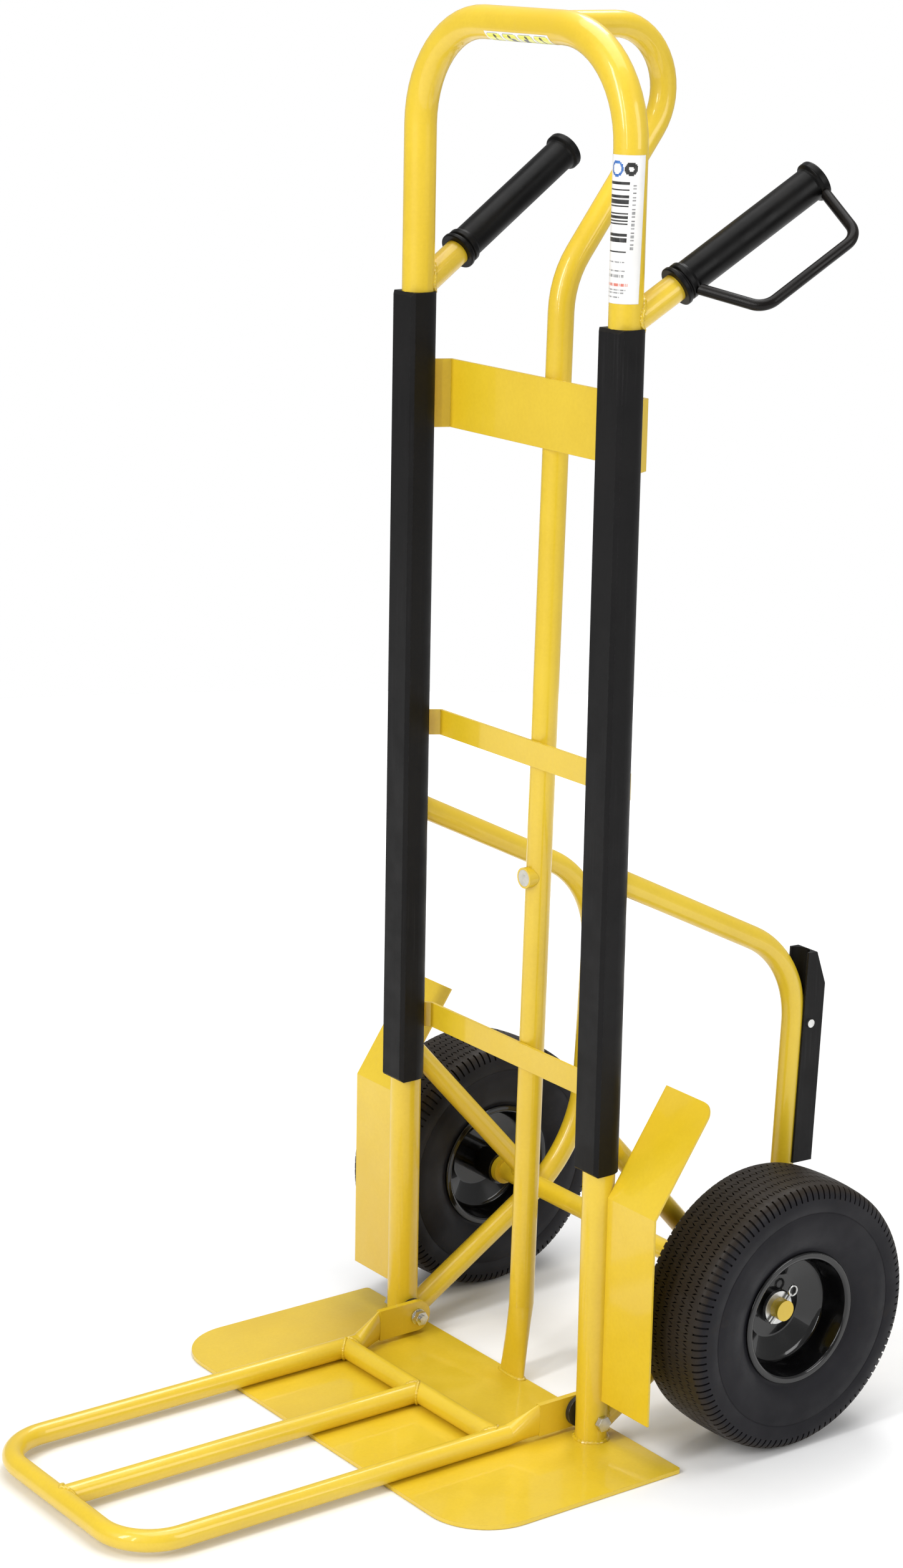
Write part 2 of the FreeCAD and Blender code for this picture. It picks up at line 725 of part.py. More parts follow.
def make_wheel_guard(name, side):
    """Bend one sheet guard, which leans back over the front of the wheel."""
    body = new_body(f"{name}_wheel_guard")
    inner = f"({UPRIGHT_X} + frame_tube / 2)"
    lean = "atan2(guard_top_y; guard_top_height - guard_bend_height)"
    back = "(guard_sheet / 2)"
    bend_shift = f"({back} * tan({lean} / 2))"
    top_shift_y = f"({back} * cos({lean}))"
    top_shift_z = f"({back} * sin({lean}))"
    profile = new_sketch(body, "YZ_Plane", base=(0, 0, outward(side, inner, "guard_width")))
    corners = [
        (f"-{back}", "guard_bottom"),
        (back, "guard_bottom"),
        (back, f"guard_bend_height - {bend_shift}"),
        (f"guard_top_y + {top_shift_y}", f"guard_top_height - {top_shift_z}"),
        (f"guard_top_y - {top_shift_y}", f"guard_top_height + {top_shift_z}"),
        (f"-{back}", f"guard_bend_height + {bend_shift}"),
    ]
    outline(profile, corners)
    pad(body, profile, "guard_width")
    outer = value(f"{side} * ({inner} + guard_width)")
    names = [
        f"Edge{i + 1}" for i, edge in enumerate(body.Shape.Edges)
        if abs(edge.Vertexes[0].X - outer) < SAME_PLACE
        and abs(edge.Vertexes[-1].X - outer) < SAME_PLACE
        and edge.BoundBox.ZMin > value("guard_top_height - 2 * guard_sheet")
    ]
    sheet_solid = body.Tip
    fillet = body.newObject("PartDesign::Fillet", f"{body.Name}_corner")
    fillet.Base = (sheet_solid, names)
    fillet.setExpression("Radius", bound("guard_corner"))
    doc.recompute()


def handle_frame(side, distance):
    """Give the placement on one handle's line: +Z along it and -Y up and forwards."""
    splay = Rotation(Vector(0, 0, 1), -side * value("handle_splay"))
    pitch = Rotation(Vector(1, 0, 0), value("handle_pitch") - 90)
    turn = splay * pitch
    start = Vector(side * value(UPRIGHT_X), 0, value("handle_height"))
    return Placement(start + turn.multVec(Vector(0, 0, value(distance))), turn)


def make_handle(name, side):
    """Make one handle: the tube stub and the grip pushed over it."""
    stub = new_body(f"{name}_handle_stub")
    frame = handle_frame(side, "0")
    base = (f"{side} * {UPRIGHT_X}", 0, "handle_height")
    section = new_sketch(stub, "XY_Plane", base=base, turn=frame.Rotation)
    tube_section(section, "handle_tube", "tube_wall")
    pad(stub, section, "grip_start + grip_length - grip_cap")
    cut_upright(stub, side)
    grip = new_body(f"{name}_grip")
    profile = new_sketch(grip, "YZ_Plane")
    bore = "(handle_tube / 2 + grip_fit)"
    barrel, bead = "(grip_size / 2)", "(grip_bead / 2)"
    root = f"({barrel} + grip_step)"
    second_ring = f"({bead} - grip_second_ring_drop)"
    corners = [
        (bore, 0),
        (bead, 0, "grip_round"),
        (bead, "grip_ring_end", "grip_round"),
        (root, "grip_groove_start"),
        (root, "grip_groove_end"),
        (second_ring, "grip_second_ring_start", "grip_round"),
        (second_ring, "grip_second_ring_end", "grip_round"),
        (barrel, "grip_barrel_start"),
        (barrel, "grip_length - grip_flare"),
        (root, "grip_length - grip_flare_root"),
        (bead, "grip_length - grip_end_ring", "grip_end_ring_round"),
        (bead, "grip_length", "grip_end_round"),
        (0, "grip_length"),
        (0, "grip_length - grip_cap"),
        (bore, "grip_length - grip_cap"),
    ]
    outline(profile, corners)
    revolve(grip, profile, "V_Axis")
    grip.Placement = handle_frame(side, "grip_start")


def make_knuckle_guard(name, side):
    """Bend one knuckle guard bar, which loops from bead to bead outside the grip."""
    body = new_body(f"{name}_knuckle_guard")
    bead = "(grip_bead / 2)"
    corners = [
        (f"{bead} - knuckle_bar", "knuckle_low_end"),
        ("knuckle_reach", "knuckle_low_corner", "knuckle_radius"),
        ("knuckle_reach", "knuckle_high_corner", "knuckle_radius"),
        (f"{bead} - knuckle_bar", "knuckle_high_end"),
    ]
    side_tube(body, 0, corners, "knuckle_bar", wall=None)
    grip = new_sketch(body, "XY_Plane")
    circle(grip, 0, 0, bead)
    pocket_through(body, grip)
    place = handle_frame(side, "grip_start")
    swing = Rotation(Vector(0, 0, 1), side * (value("knuckle_angle") - 90))
    body.Placement = Placement(place.Base, place.Rotation * swing)


def make_magnet():
    """Make the magnet's cup, fitted to the front of the centre tube, and the magnet in it."""
    cup = new_body("magnet_cup")
    tube_y = centre_y("magnet_height")
    face = new_sketch(cup, "XZ_Plane", base=(0, 0, "-magnet_face"))
    circle(face, 0, "magnet_height", "magnet_cup_size / 2")
    pad(cup, face, f"{tube_y} - magnet_face", reverse=True)
    seat = new_sketch(cup, "XZ_Plane", base=(0, 0, "-magnet_face"))
    circle(seat, 0, "magnet_height", "magnet_size / 2")
    recess = cup.newObject("PartDesign::Pocket", "magnet_recess")
    recess.Profile = seat
    recess.setExpression("Length", bound("magnet_thickness"))
    doc.recompute()
    base = (0, tube_y, "magnet_height")
    tube = new_sketch(cup, "XY_Plane", base=base, tilt=f"-{CENTRE_LEAN}")
    circle(tube, 0, 0, "centre_tube_size / 2")
    pocket_through(cup, tube)
    magnet = new_body("magnet")
    disc_face = new_sketch(magnet, "XZ_Plane", base=(0, 0, "-magnet_face"))
    circle(disc_face, 0, "magnet_height", "magnet_size / 2")
    pad(magnet, disc_face, "magnet_thickness", reverse=True)


def make_extension_loop():
    """Bend the extension's loop and flatten its ends into ears with pivot holes."""
    body = new_body("extension_loop")
    path = new_sketch(body, "XY_Plane", base=(0, 0, EXTENSION_Z))
    corners = [
        ("-extension_side", "-ear_round_start"),
        ("-extension_side", "-extension_reach", "extension_corner"),
        ("extension_side", "-extension_reach", "extension_corner"),
        ("extension_side", "-ear_round_start"),
    ]
    outline(path, corners, closed=False)
    start = ("-extension_side", EXTENSION_Z, "ear_round_start")
    section = new_sketch(body, "XZ_Plane", base=start)
    tube_section(section, "extension_tube", "tube_wall")
    sweep(body, section, path)
    for side in SIDES.values():
        # Both ends of the pinch are taller than wide, so the loft joins them without a twist.
        round_end = new_sketch(body, "XZ_Plane", base=(0, 0, "ear_round_start"))
        half = "(extension_tube / 2 - pinch_step)"
        ellipse(round_end, f"{side} * extension_side", EXTENSION_Z, f"{half} - pinch_step / 2", half)
        flat_end = new_sketch(body, "XZ_Plane", base=(0, 0, "ear_flat_start"))
        ellipse(flat_end, f"{side} * {EAR_X}", "pivot_height", "ear_thickness / 2 - pinch_step",
                "ear_depth / 2 - pinch_step")
        loft(body, round_end, flat_end)
        start_x = outward(side, f"{EAR_X} - ear_thickness / 2", "ear_thickness")
        ear = new_sketch(body, "YZ_Plane", base=(0, 0, start_x))
        corners = [
            ("-ear_flat_start", "pivot_height - ear_depth / 2"),
            ("ear_depth / 2", "pivot_height - ear_depth / 2", "(ear_depth - ear_end_flat) / 2"),
            ("ear_depth / 2", "pivot_height + ear_depth / 2", "(ear_depth - ear_end_flat) / 2"),
            ("-ear_flat_start", "pivot_height + ear_depth / 2"),
        ]
        outline(ear, corners)
        pad(body, ear, "ear_thickness")
    hole = new_sketch(body, "YZ_Plane")
    circle(hole, 0, "pivot_height", "pivot_bolt / 2 + pivot_clearance")
    pocket_through(body, hole)


def make_extension_bars():
    """Cut the extension's crossbar and the centre bar that runs forwards from it."""
    cross = new_body("extension_crossbar")
    disc(cross, "-extension_side", "-extension_bar_inset", EXTENSION_Z, "extension_tube",
         "2 * extension_side", "extension_tube - 2 * tube_wall")
    for side in SIDES.values():
        rail = new_sketch(cross, "XZ_Plane")
        circle(rail, f"{side} * extension_side", EXTENSION_Z, "extension_tube / 2")
        pocket_through(cross, rail)
    bar = new_body("extension_centre_bar")
    section = new_sketch(bar, "XZ_Plane", base=(0, EXTENSION_Z, "extension_bar_inset"))
    tube_section(section, "extension_tube", "tube_wall")
    pad(bar, section, "extension_reach - extension_bar_inset")
    for y in ("-extension_bar_inset", "-extension_reach"):
        crossing = new_sketch(bar, "YZ_Plane")
        circle(crossing, y, EXTENSION_Z, "extension_tube / 2")
        pocket_through(bar, crossing)


def hexagon(sketch, y, z, across_flats):
    """Draw a regular hexagon that stands on a flat."""
    corners = [
        (f"{y} + {across_flats} / sqrt(3) * cos({60 * i} deg)",
         f"{z} + {across_flats} / sqrt(3) * sin({60 * i} deg)")
        for i in range(6)
    ]
    outline(sketch, corners)


def make_pivot(name, side):
    """Make one pivot of the extension: bolt, black spacer, washer and nut."""
    outer = f"({UPRIGHT_X} + frame_tube / 2)"
    inner = f"({UPRIGHT_X} - frame_tube / 2)"
    ear_outer = "(extension_side + extension_tube / 2)"
    ear_inner = f"({ear_outer} - ear_thickness)"
    washer_inner = f"({ear_inner} - pivot_gap - pivot_washer_thickness)"
    nut_inner = f"({washer_inner} - nut_height)"
    bolt = new_body(f"{name}_pivot_bolt")
    head_start = outward(side, outer, "bolt_head_height")
    head = new_sketch(bolt, "YZ_Plane", base=(0, 0, head_start))
    hexagon(head, "0", "pivot_height", "bolt_head")
    pad(bolt, head, "bolt_head_height")
    shank_length = f"({outer} - {nut_inner} + bolt_tip)"
    shank_start = outward(side, f"{nut_inner} - bolt_tip", shank_length)
    disc(bolt, shank_start, 0, "pivot_height", "pivot_bolt", shank_length)
    spacer = new_body(f"{name}_pivot_spacer")
    spacer_start = f"({ear_outer} + pivot_gap)"
    spacer_length = f"({inner} - {spacer_start})"
    disc(spacer, outward(side, spacer_start, spacer_length), 0, "pivot_height", "spacer_size",
         spacer_length, "pivot_bolt")
    washer = new_body(f"{name}_pivot_washer")
    disc(washer, outward(side, washer_inner, "pivot_washer_thickness"), 0, "pivot_height",
         "pivot_washer_size", "pivot_washer_thickness", "pivot_bolt")
    nut = new_body(f"{name}_pivot_nut")
    face = new_sketch(nut, "YZ_Plane", base=(0, 0, outward(side, nut_inner, "nut_height")))
    hexagon(face, "0", "pivot_height", "bolt_head")
    circle(face, 0, "pivot_height", "pivot_bolt / 2")
    pad(nut, face, "nut_height")


def turned_wheel_part(label, side, corners):
    """Turn a profile of (along, radius) corners about the axle; along grows outboard."""
    body = new_body(label)
    profile = new_sketch(body, "XZ_Plane")
    outline(profile, [(f"{side} * ({corner[0]})",) + tuple(corner[1:]) for corner in corners])
    revolve(body, profile)
    place = Vector(side * value(WHEEL_X), value("axle_back"), value(AXLE_Z))
    body.Placement = Placement(place, Rotation())


def make_tyre(name, side):
    """Turn one hollow tyre, from bead to bead round the air space."""
    half = "(tyre_width / 2)"
    bead = "(rim_width / 2 - rim_sheet - bead_gap)"
    outer = "(wheel_size / 2)"
    seat = "(rim_mouth + rim_sheet + bead_gap)"
    inner_half = f"({half} - tyre_wall)"
    roof = f"({outer} - tyre_wall)"
    right = [
        (f"{half} - tread_edge", f"{outer} - tread_drop", "tread_round"),
        (half, f"{outer} - shoulder_drop", "shoulder_round"),
        (half, "rim_lip + sidewall_rise", "sidewall_round"),
        (bead, "rim_lip + bead_rise"),
        (bead, seat),
        (f"{bead} - tyre_wall", seat),
        (inner_half, "rim_lip + sidewall_rise", "air_space_low_round"),
        (inner_half, f"{roof} - air_space_bevel", "air_space_round"),
        (f"{inner_half} - air_space_bevel", roof),
    ]
    left = [(f"-({corner[0]})",) + tuple(corner[1:]) for corner in reversed(right)]
    turned_wheel_part(f"{name}_tyre", side, [(0, outer)] + right + left)


def make_rim(name, side):
    """Turn the two pressed halves of one rim, which meet at the wheel's disc."""
    lip = "(rim_width / 2)"
    hub = "(hub_size / 2)"
    for half_name, facing in (("outer", 1), ("inner", -1)):
        lip_along = f"({facing} * {lip})"
        lip_back = f"({lip_along} - {facing} * rim_sheet)"
        well = f"(rim_floor_offset + {facing} * rim_well_rise)"
        floor_near = f"(rim_floor_offset + {facing} * rim_sheet)"
        corners = [
            (lip_along, "rim_lip", "rim_lip_round"),
            (lip_along, "rim_mouth", "rim_mouth_round"),
            (well, "rim_well", "rim_well_round"),
            (floor_near, "rim_floor", "rim_floor_round"),
            (floor_near, hub),
            ("rim_floor_offset", hub),
            ("rim_floor_offset", "rim_floor + rim_sheet / 2"),
            (f"{well} - {facing} * rim_sheet", "rim_well + rim_sheet"),
            (lip_back, "rim_mouth + rim_sheet"),
            (lip_back, "rim_lip"),
        ]
        turned_wheel_part(f"{name}_rim_{half_name}", side, corners)


def make_hub(name, side):
    """Turn one hub sleeve and the bearings at its two ends."""
    outer, inner = "(hub_size / 2)", "(hub_size / 2 - hub_wall)"
    bore = "(axle_size / 2 + running_clearance)"
    sleeve = [
        ("-hub_inboard", inner),
        ("hub_outboard", inner),
        ("hub_outboard", outer),
        ("-hub_inboard", outer),
    ]
    turned_wheel_part(f"{name}_hub_sleeve", side, sleeve)
    for end_name, start in (
        ("outer", "hub_outboard - bearing_width"),
        ("inner", "-hub_inboard"),
    ):
        bearing = [
            (start, bore),
            (f"{start} + bearing_width", bore),
            (f"{start} + bearing_width", inner),
            (start, inner),
        ]
        turned_wheel_part(f"{name}_bearing_{end_name}", side, bearing)


def is_sub_part(item):
    """Tell a finished sub-part from the sketches and tools it is made of."""
    return item.TypeId in ("PartDesign::Body", "Part::Fuse") and item.Label == item.Name


def check_and_export():
    """Stop on any failed object or bad solid, then write one STEP file for each sub-part."""
    doc.recompute()
    for item in doc.Objects:
        if "Invalid" in item.State or "Error" in item.State:
            raise RuntimeError(f"{item.Name} failed: {item.State}")
    sub_parts = [item for item in doc.Objects if is_sub_part(item)]
    for item in sub_parts:
        if item.Shape.isNull() or not item.Shape.isValid() or len(item.Shape.Solids) != 1:
            raise RuntimeError(f"{item.Label} is not one valid solid")
    os.makedirs("parts", exist_ok=True)
    for item in sub_parts:
        item.Shape.exportStep(f"parts/{item.Label}.step")
    print(len(sub_parts), "sub-parts written")


make_main_frame()
make_toe_plate()
make_centre_tube()
make_crossbar("upper", "upper_bar_bottom", "upper_bar_depth")
make_crossbar("middle", "middle_bar_bottom", "middle_bar_depth")
make_crossbar("lower", "lower_bar_bottom", "lower_bar_depth")
make_axle()
make_magnet()
make_extension_loop()
make_extension_bars()
for side_name, direction in SIDES.items():
    make_skid_rail(side_name, direction)
    make_axle_brace(side_name, direction)
    make_axle_fittings(side_name, direction)
    make_skid_strip(side_name, direction)
    make_upright_strip(side_name, direction)
    make_wheel_guard(side_name, direction)
    make_handle(side_name, direction)
    make_knuckle_guard(side_name, direction)
    make_pivot(side_name, direction)
    make_tyre(side_name, direction)
    make_rim(side_name, direction)
    make_hub(side_name, direction)
check_and_export()
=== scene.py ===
"""Visual model of a two-wheeled hand truck with a folding toe extension.

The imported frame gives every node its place. This script adds the treaded tyres, the weld
beads and the stickers, dresses every piece in its finish, and sets up the studio.
"""

import logging
import math
from contextlib import contextmanager
from dataclasses import dataclass, field
from enum import Enum
from typing import Callable, Iterator, Sequence

import bmesh
import bpy
from mathutils import Matrix, Vector


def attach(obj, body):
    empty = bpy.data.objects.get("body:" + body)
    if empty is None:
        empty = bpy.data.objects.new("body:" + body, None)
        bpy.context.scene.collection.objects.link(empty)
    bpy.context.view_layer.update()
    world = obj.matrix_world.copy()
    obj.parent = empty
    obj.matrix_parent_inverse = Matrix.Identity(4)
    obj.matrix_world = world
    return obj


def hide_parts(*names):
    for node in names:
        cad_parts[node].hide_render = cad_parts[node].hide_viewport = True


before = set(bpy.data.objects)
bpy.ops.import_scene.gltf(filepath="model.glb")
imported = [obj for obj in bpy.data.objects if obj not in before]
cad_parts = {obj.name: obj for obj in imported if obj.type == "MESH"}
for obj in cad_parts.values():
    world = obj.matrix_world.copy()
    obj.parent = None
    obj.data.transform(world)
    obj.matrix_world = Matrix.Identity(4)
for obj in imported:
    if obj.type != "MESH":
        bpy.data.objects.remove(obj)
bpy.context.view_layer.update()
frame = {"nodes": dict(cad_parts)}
MM = 0.001
MERGE_DISTANCE = 1e-6
SAME_RING = 1e-5
NEAR_RING = 2e-4

log = logging.getLogger("hand_truck")

Colour = tuple[float, float, float, float]


class Body(Enum):
    """The moving groups that a piece can ride on."""

    FRAME = "frame"
    EXTENSION = "toe_extension"
    LEFT_WHEEL = "left_wheel"
    RIGHT_WHEEL = "right_wheel"


class Side(Enum):
    """The two sides of the truck, with the sign of their X."""

    LEFT = -1
    RIGHT = 1

    @property
    def label(self) -> str:
        """Give the side's name as the nodes spell it."""
        return self.name.lower()

    @property
    def wheel(self) -> Body:
        """Give the wheel body on this side."""
        return Body.LEFT_WHEEL if self is Side.LEFT else Body.RIGHT_WHEEL


class Effect(Enum):
    """The surface effects that several finishes share."""

    ORANGE_PEEL = "orange_peel"
    CLOUD_TINT = "cloud_tint"
    EDGE_WEAR_AND_HIGHLIGHT = "edge_wear_and_highlight"
    SCUFFS = "scuffs"
    SETTLED_DUST = "settled_dust"


# --------------------------------------------------------------------------- shading


class ShaderBoard:
    """Places and links the nodes of one node tree."""

    def __init__(self, tree: bpy.types.NodeTree) -> None:
        """Keep the tree that this board works on.

        Args:
            tree: the material's or the group's node tree.
        """
        self.tree = tree

    def add(self, kind: str, **settings: object) -> bpy.types.Node:
        """Add one node.

        Args:
            kind: the node's type name.
            **settings: attributes to set on it.

        Returns:
            The new node.
        """
        node = self.tree.nodes.new(kind)
        for name, setting in settings.items():
            setattr(node, name, setting)
        return node

    def feed(self, socket: bpy.types.NodeSocket, source: object) -> None:
        """Link a socket to its source, or set it to a plain value.

        Args:
            socket: the input socket.
            source: an output socket, a number, a vector or a colour.
        """
        if isinstance(source, bpy.types.NodeSocket):
            self.tree.links.new(source, socket)
        else:
            socket.default_value = source

    def noise(self, vector: object, scale: object, detail: float = 3.0,
              roughness: float = 0.55) -> bpy.types.NodeSocket:
        """Add a noise texture and give its value.

        Args:
            vector: the coordinates.
            scale: features per metre.
            detail: how many octaves it has.
            roughness: how much each finer octave counts.

        Returns:
            The noise value, about 0.5 on average.
        """
        node = self.add("ShaderNodeTexNoise")
        self.feed(node.inputs["Vector"], vector)
        self.feed(node.inputs["Scale"], scale)
        node.inputs["Detail"].default_value = detail
        node.inputs["Roughness"].default_value = roughness
        return node.outputs["Fac"]

    def maths(self, operation: str, first: object, second: object = 0.0,
              clamp: bool = False) -> bpy.types.NodeSocket:
        """Add a maths node and give its value.

        Args:
            operation: the node's operation.
            first: its first input.
            second: its second input.
            clamp: whether the value is held between 0 and 1.

        Returns:
            The value.
        """
        node = self.add("ShaderNodeMath", operation=operation, use_clamp=clamp)
        self.feed(node.inputs[0], first)
        self.feed(node.inputs[1], second)
        return node.outputs["Value"]

    def step(self, value: object, low: object, high: object, start: float = 0.0,
             end: float = 1.0) -> bpy.types.NodeSocket:
        """Ease a value from one number to another between two limits.

        Args:
            value: the value that is read.
            low: where the ease starts.
            high: where it ends.
            start: what it gives at the low limit.
            end: what it gives at the high limit.

        Returns:
            The eased value.
        """
        node = self.add("ShaderNodeMapRange", interpolation_type="SMOOTHSTEP")
        self.feed(node.inputs["Value"], value)
        self.feed(node.inputs["From Min"], low)
        self.feed(node.inputs["From Max"], high)
        self.feed(node.inputs["To Min"], start)
        self.feed(node.inputs["To Max"], end)
        return node.outputs["Result"]

    def blend(self, mask: object, first: object, second: object) -> bpy.types.NodeSocket:
        """Mix two colours.

        Args:
            mask: 0 for the first colour and 1 for the second.
            first: the colour under the mask.
            second: the colour that the mask brings in.

        Returns:
            The mixed colour.
        """
        node = self.add("ShaderNodeMix", data_type="RGBA")
        self.feed(node.inputs[0], mask)
        self.feed(node.inputs[6], first)
        self.feed(node.inputs[7], second)
        return node.outputs[2]


class EffectLibrary:
    """Builds each shared effect once and places it in the materials."""

    def __init__(self) -> None:
        """Start with no effect built."""
        self.groups: dict[Effect, bpy.types.NodeTree] = {}
        self.makers: dict[Effect, Callable[[Effect], bpy.types.NodeTree]] = {
            Effect.ORANGE_PEEL: self.make_orange_peel,
            Effect.CLOUD_TINT: self.make_cloud_tint,
            Effect.EDGE_WEAR_AND_HIGHLIGHT: self.make_edge_wear,
            Effect.SCUFFS: self.make_scuffs,
            Effect.SETTLED_DUST: self.make_settled_dust,
        }

    def place(self, board: ShaderBoard, effect: Effect, **values: object) -> bpy.types.Node:
        """Put one effect into a material.

        Args:
            board: the material's board.
            effect: which effect.
            **values: the group's inputs, with spaces written as underscores.

        Returns:
            The group node.
        """
        if effect not in self.groups:
            self.groups[effect] = self.makers[effect](effect)
        node = board.add("ShaderNodeGroup", node_tree=self.groups[effect])
        for name, value in values.items():
            board.feed(node.inputs[name.replace("_", " ")], value)
        return node

    def new_group(self, effect: Effect, inputs: dict[str, str],
                  outputs: dict[str, str]) -> tuple[ShaderBoard, bpy.types.Node, bpy.types.Node]:
        """Start a group with its named sockets.

        Args:
            effect: the effect that the group is for.
            inputs: socket names and kinds.
            outputs: socket names and kinds.

        Returns:
            The group's board, its input node and its output node.
        """
        tree = bpy.data.node_groups.new(effect.value, "ShaderNodeTree")
        for name, kind in inputs.items():
            tree.interface.new_socket(name, in_out="INPUT", socket_type=f"NodeSocket{kind}")
        for name, kind in outputs.items():
            tree.interface.new_socket(name, in_out="OUTPUT", socket_type=f"NodeSocket{kind}")
        board = ShaderBoard(tree)
        return board, board.add("NodeGroupInput"), board.add("NodeGroupOutput")

    def make_orange_peel(self, effect: Effect) -> bpy.types.NodeTree:
        """Make the fine dimples of a cured coat over the slow waves of the sheet.

        Args:
            effect: the effect's name.

        Returns:
            The group.
        """
        board, given, result = self.new_group(
            effect, {"Vector": "Vector", "Scale": "Float", "Waves": "Float"},
            {"Height": "Float"})
        place, scale = given.outputs["Vector"], given.outputs["Scale"]
        fine = board.noise(place, scale, detail=2.0)
        slow = board.noise(place, board.maths("MULTIPLY", scale, 0.06), detail=1.0)
        waves = board.maths("MULTIPLY", slow, given.outputs["Waves"])
        board.feed(result.inputs["Height"], board.maths("ADD", fine, waves))
        return board.tree

    def make_cloud_tint(self, effect: Effect) -> bpy.types.NodeTree:
        """Make two tints of one colour drift into each other.

        Args:
            effect: the effect's name.

        Returns:
            The group.
        """
        board, given, result = self.new_group(
            effect, {"Vector": "Vector", "Scale": "Float", "Base": "Color", "Tint": "Color"},
            {"Color": "Color"})
        place, scale = given.outputs["Vector"], given.outputs["Scale"]
        broad = board.noise(place, scale, detail=4.0)
        speckle = board.noise(place, board.maths("MULTIPLY", scale, 60.0), detail=2.0)
        both = board.maths("ADD", board.maths("MULTIPLY", broad, 0.8),
                           board.maths("MULTIPLY", speckle, 0.2))
        mask = board.step(both, 0.35, 0.65)
        board.feed(result.inputs["Color"],
                   board.blend(mask, given.outputs["Base"], given.outputs["Tint"]))
        return board.tree

    def make_edge_wear(self, effect: Effect) -> bpy.types.NodeTree:
        """Make a broken mask along the edges, for wear and a painted edge highlight, and a normal
        that rounds them a little.

        Args:
            effect: the effect's name.

        Returns:
            The group.
        """
        board, given, result = self.new_group(
            effect, {"Vector": "Vector", "Radius": "Float", "Breakup": "Float", "Amount": "Float"},
            {"Mask": "Float", "Normal": "Vector"})
        rounded = board.add("ShaderNodeBevel", samples=4)
        board.feed(rounded.inputs["Radius"], given.outputs["Radius"])
        flat = board.add("ShaderNodeNewGeometry").outputs["Normal"]
        align = board.add("ShaderNodeVectorMath", operation="DOT_PRODUCT")
        board.feed(align.inputs[0], rounded.outputs["Normal"])
        board.feed(align.inputs[1], flat)
        edge = board.step(align.outputs["Value"], 0.99, 0.80)
        edge_breakup = board.noise(given.outputs["Vector"], given.outputs["Breakup"], detail=5.0)
        broken = board.maths("MULTIPLY", edge, board.step(edge_breakup, 0.48, 0.62))
        board.feed(result.inputs["Mask"],
                   board.maths("MULTIPLY", broken, given.outputs["Amount"], clamp=True))
        board.feed(result.inputs["Normal"], rounded.outputs["Normal"])
        return board.tree

    def make_scuffs(self, effect: Effect) -> bpy.types.NodeTree:
        """Make rubbed patches made of fine lines that run one way.

        Args:
            effect: the effect's name.

        Returns:
            The group.
        """
        board, given, result = self.new_group(
            effect, {"Vector": "Vector", "Stretch": "Vector", "Patch": "Float", "Amount": "Float"},
            {"Mask": "Float", "Lines": "Float"})
        stretched = board.add("ShaderNodeVectorMath", operation="MULTIPLY")
        board.feed(stretched.inputs[0], given.outputs["Vector"])
        board.feed(stretched.inputs[1], given.outputs["Stretch"])
        lines = board.noise(stretched.outputs["Vector"], 1.0, detail=5.0, roughness=0.7)
        patch = board.noise(given.outputs["Vector"], given.outputs["Patch"], detail=3.0)
        mask = board.maths("MULTIPLY", board.step(lines, 0.50, 0.72),
                           board.step(patch, 0.45, 0.70))
        board.feed(result.inputs["Mask"],
                   board.maths("MULTIPLY", mask, given.outputs["Amount"], clamp=True))
        board.feed(result.inputs["Lines"], lines)
        return board.tree

    def make_settled_dust(self, effect: Effect) -> bpy.types.NodeTree:
        """Make dust that lies on what faces up and in patches elsewhere.

        Args:
            effect: the effect's name.

        Returns:
            The group.
        """
        board, given, result = self.new_group(
            effect, {"Vector": "Vector", "Patch": "Float", "Amount": "Float"}, {"Mask": "Float"})
        normal = board.add("ShaderNodeNewGeometry").outputs["Normal"]
        split = board.add("ShaderNodeSeparateXYZ")
        board.feed(split.inputs[0], normal)
        upward = board.step(split.outputs["Z"], -0.2, 1.0, start=0.35)
        patch = board.noise(given.outputs["Vector"], given.outputs["Patch"], detail=6.0,
                            roughness=0.65)
        mask = board.maths("MULTIPLY", upward, board.step(patch, 0.42, 0.68))
        board.feed(result.inputs["Mask"],
                   board.maths("MULTIPLY", mask, given.outputs["Amount"], clamp=True))
        return board.tree


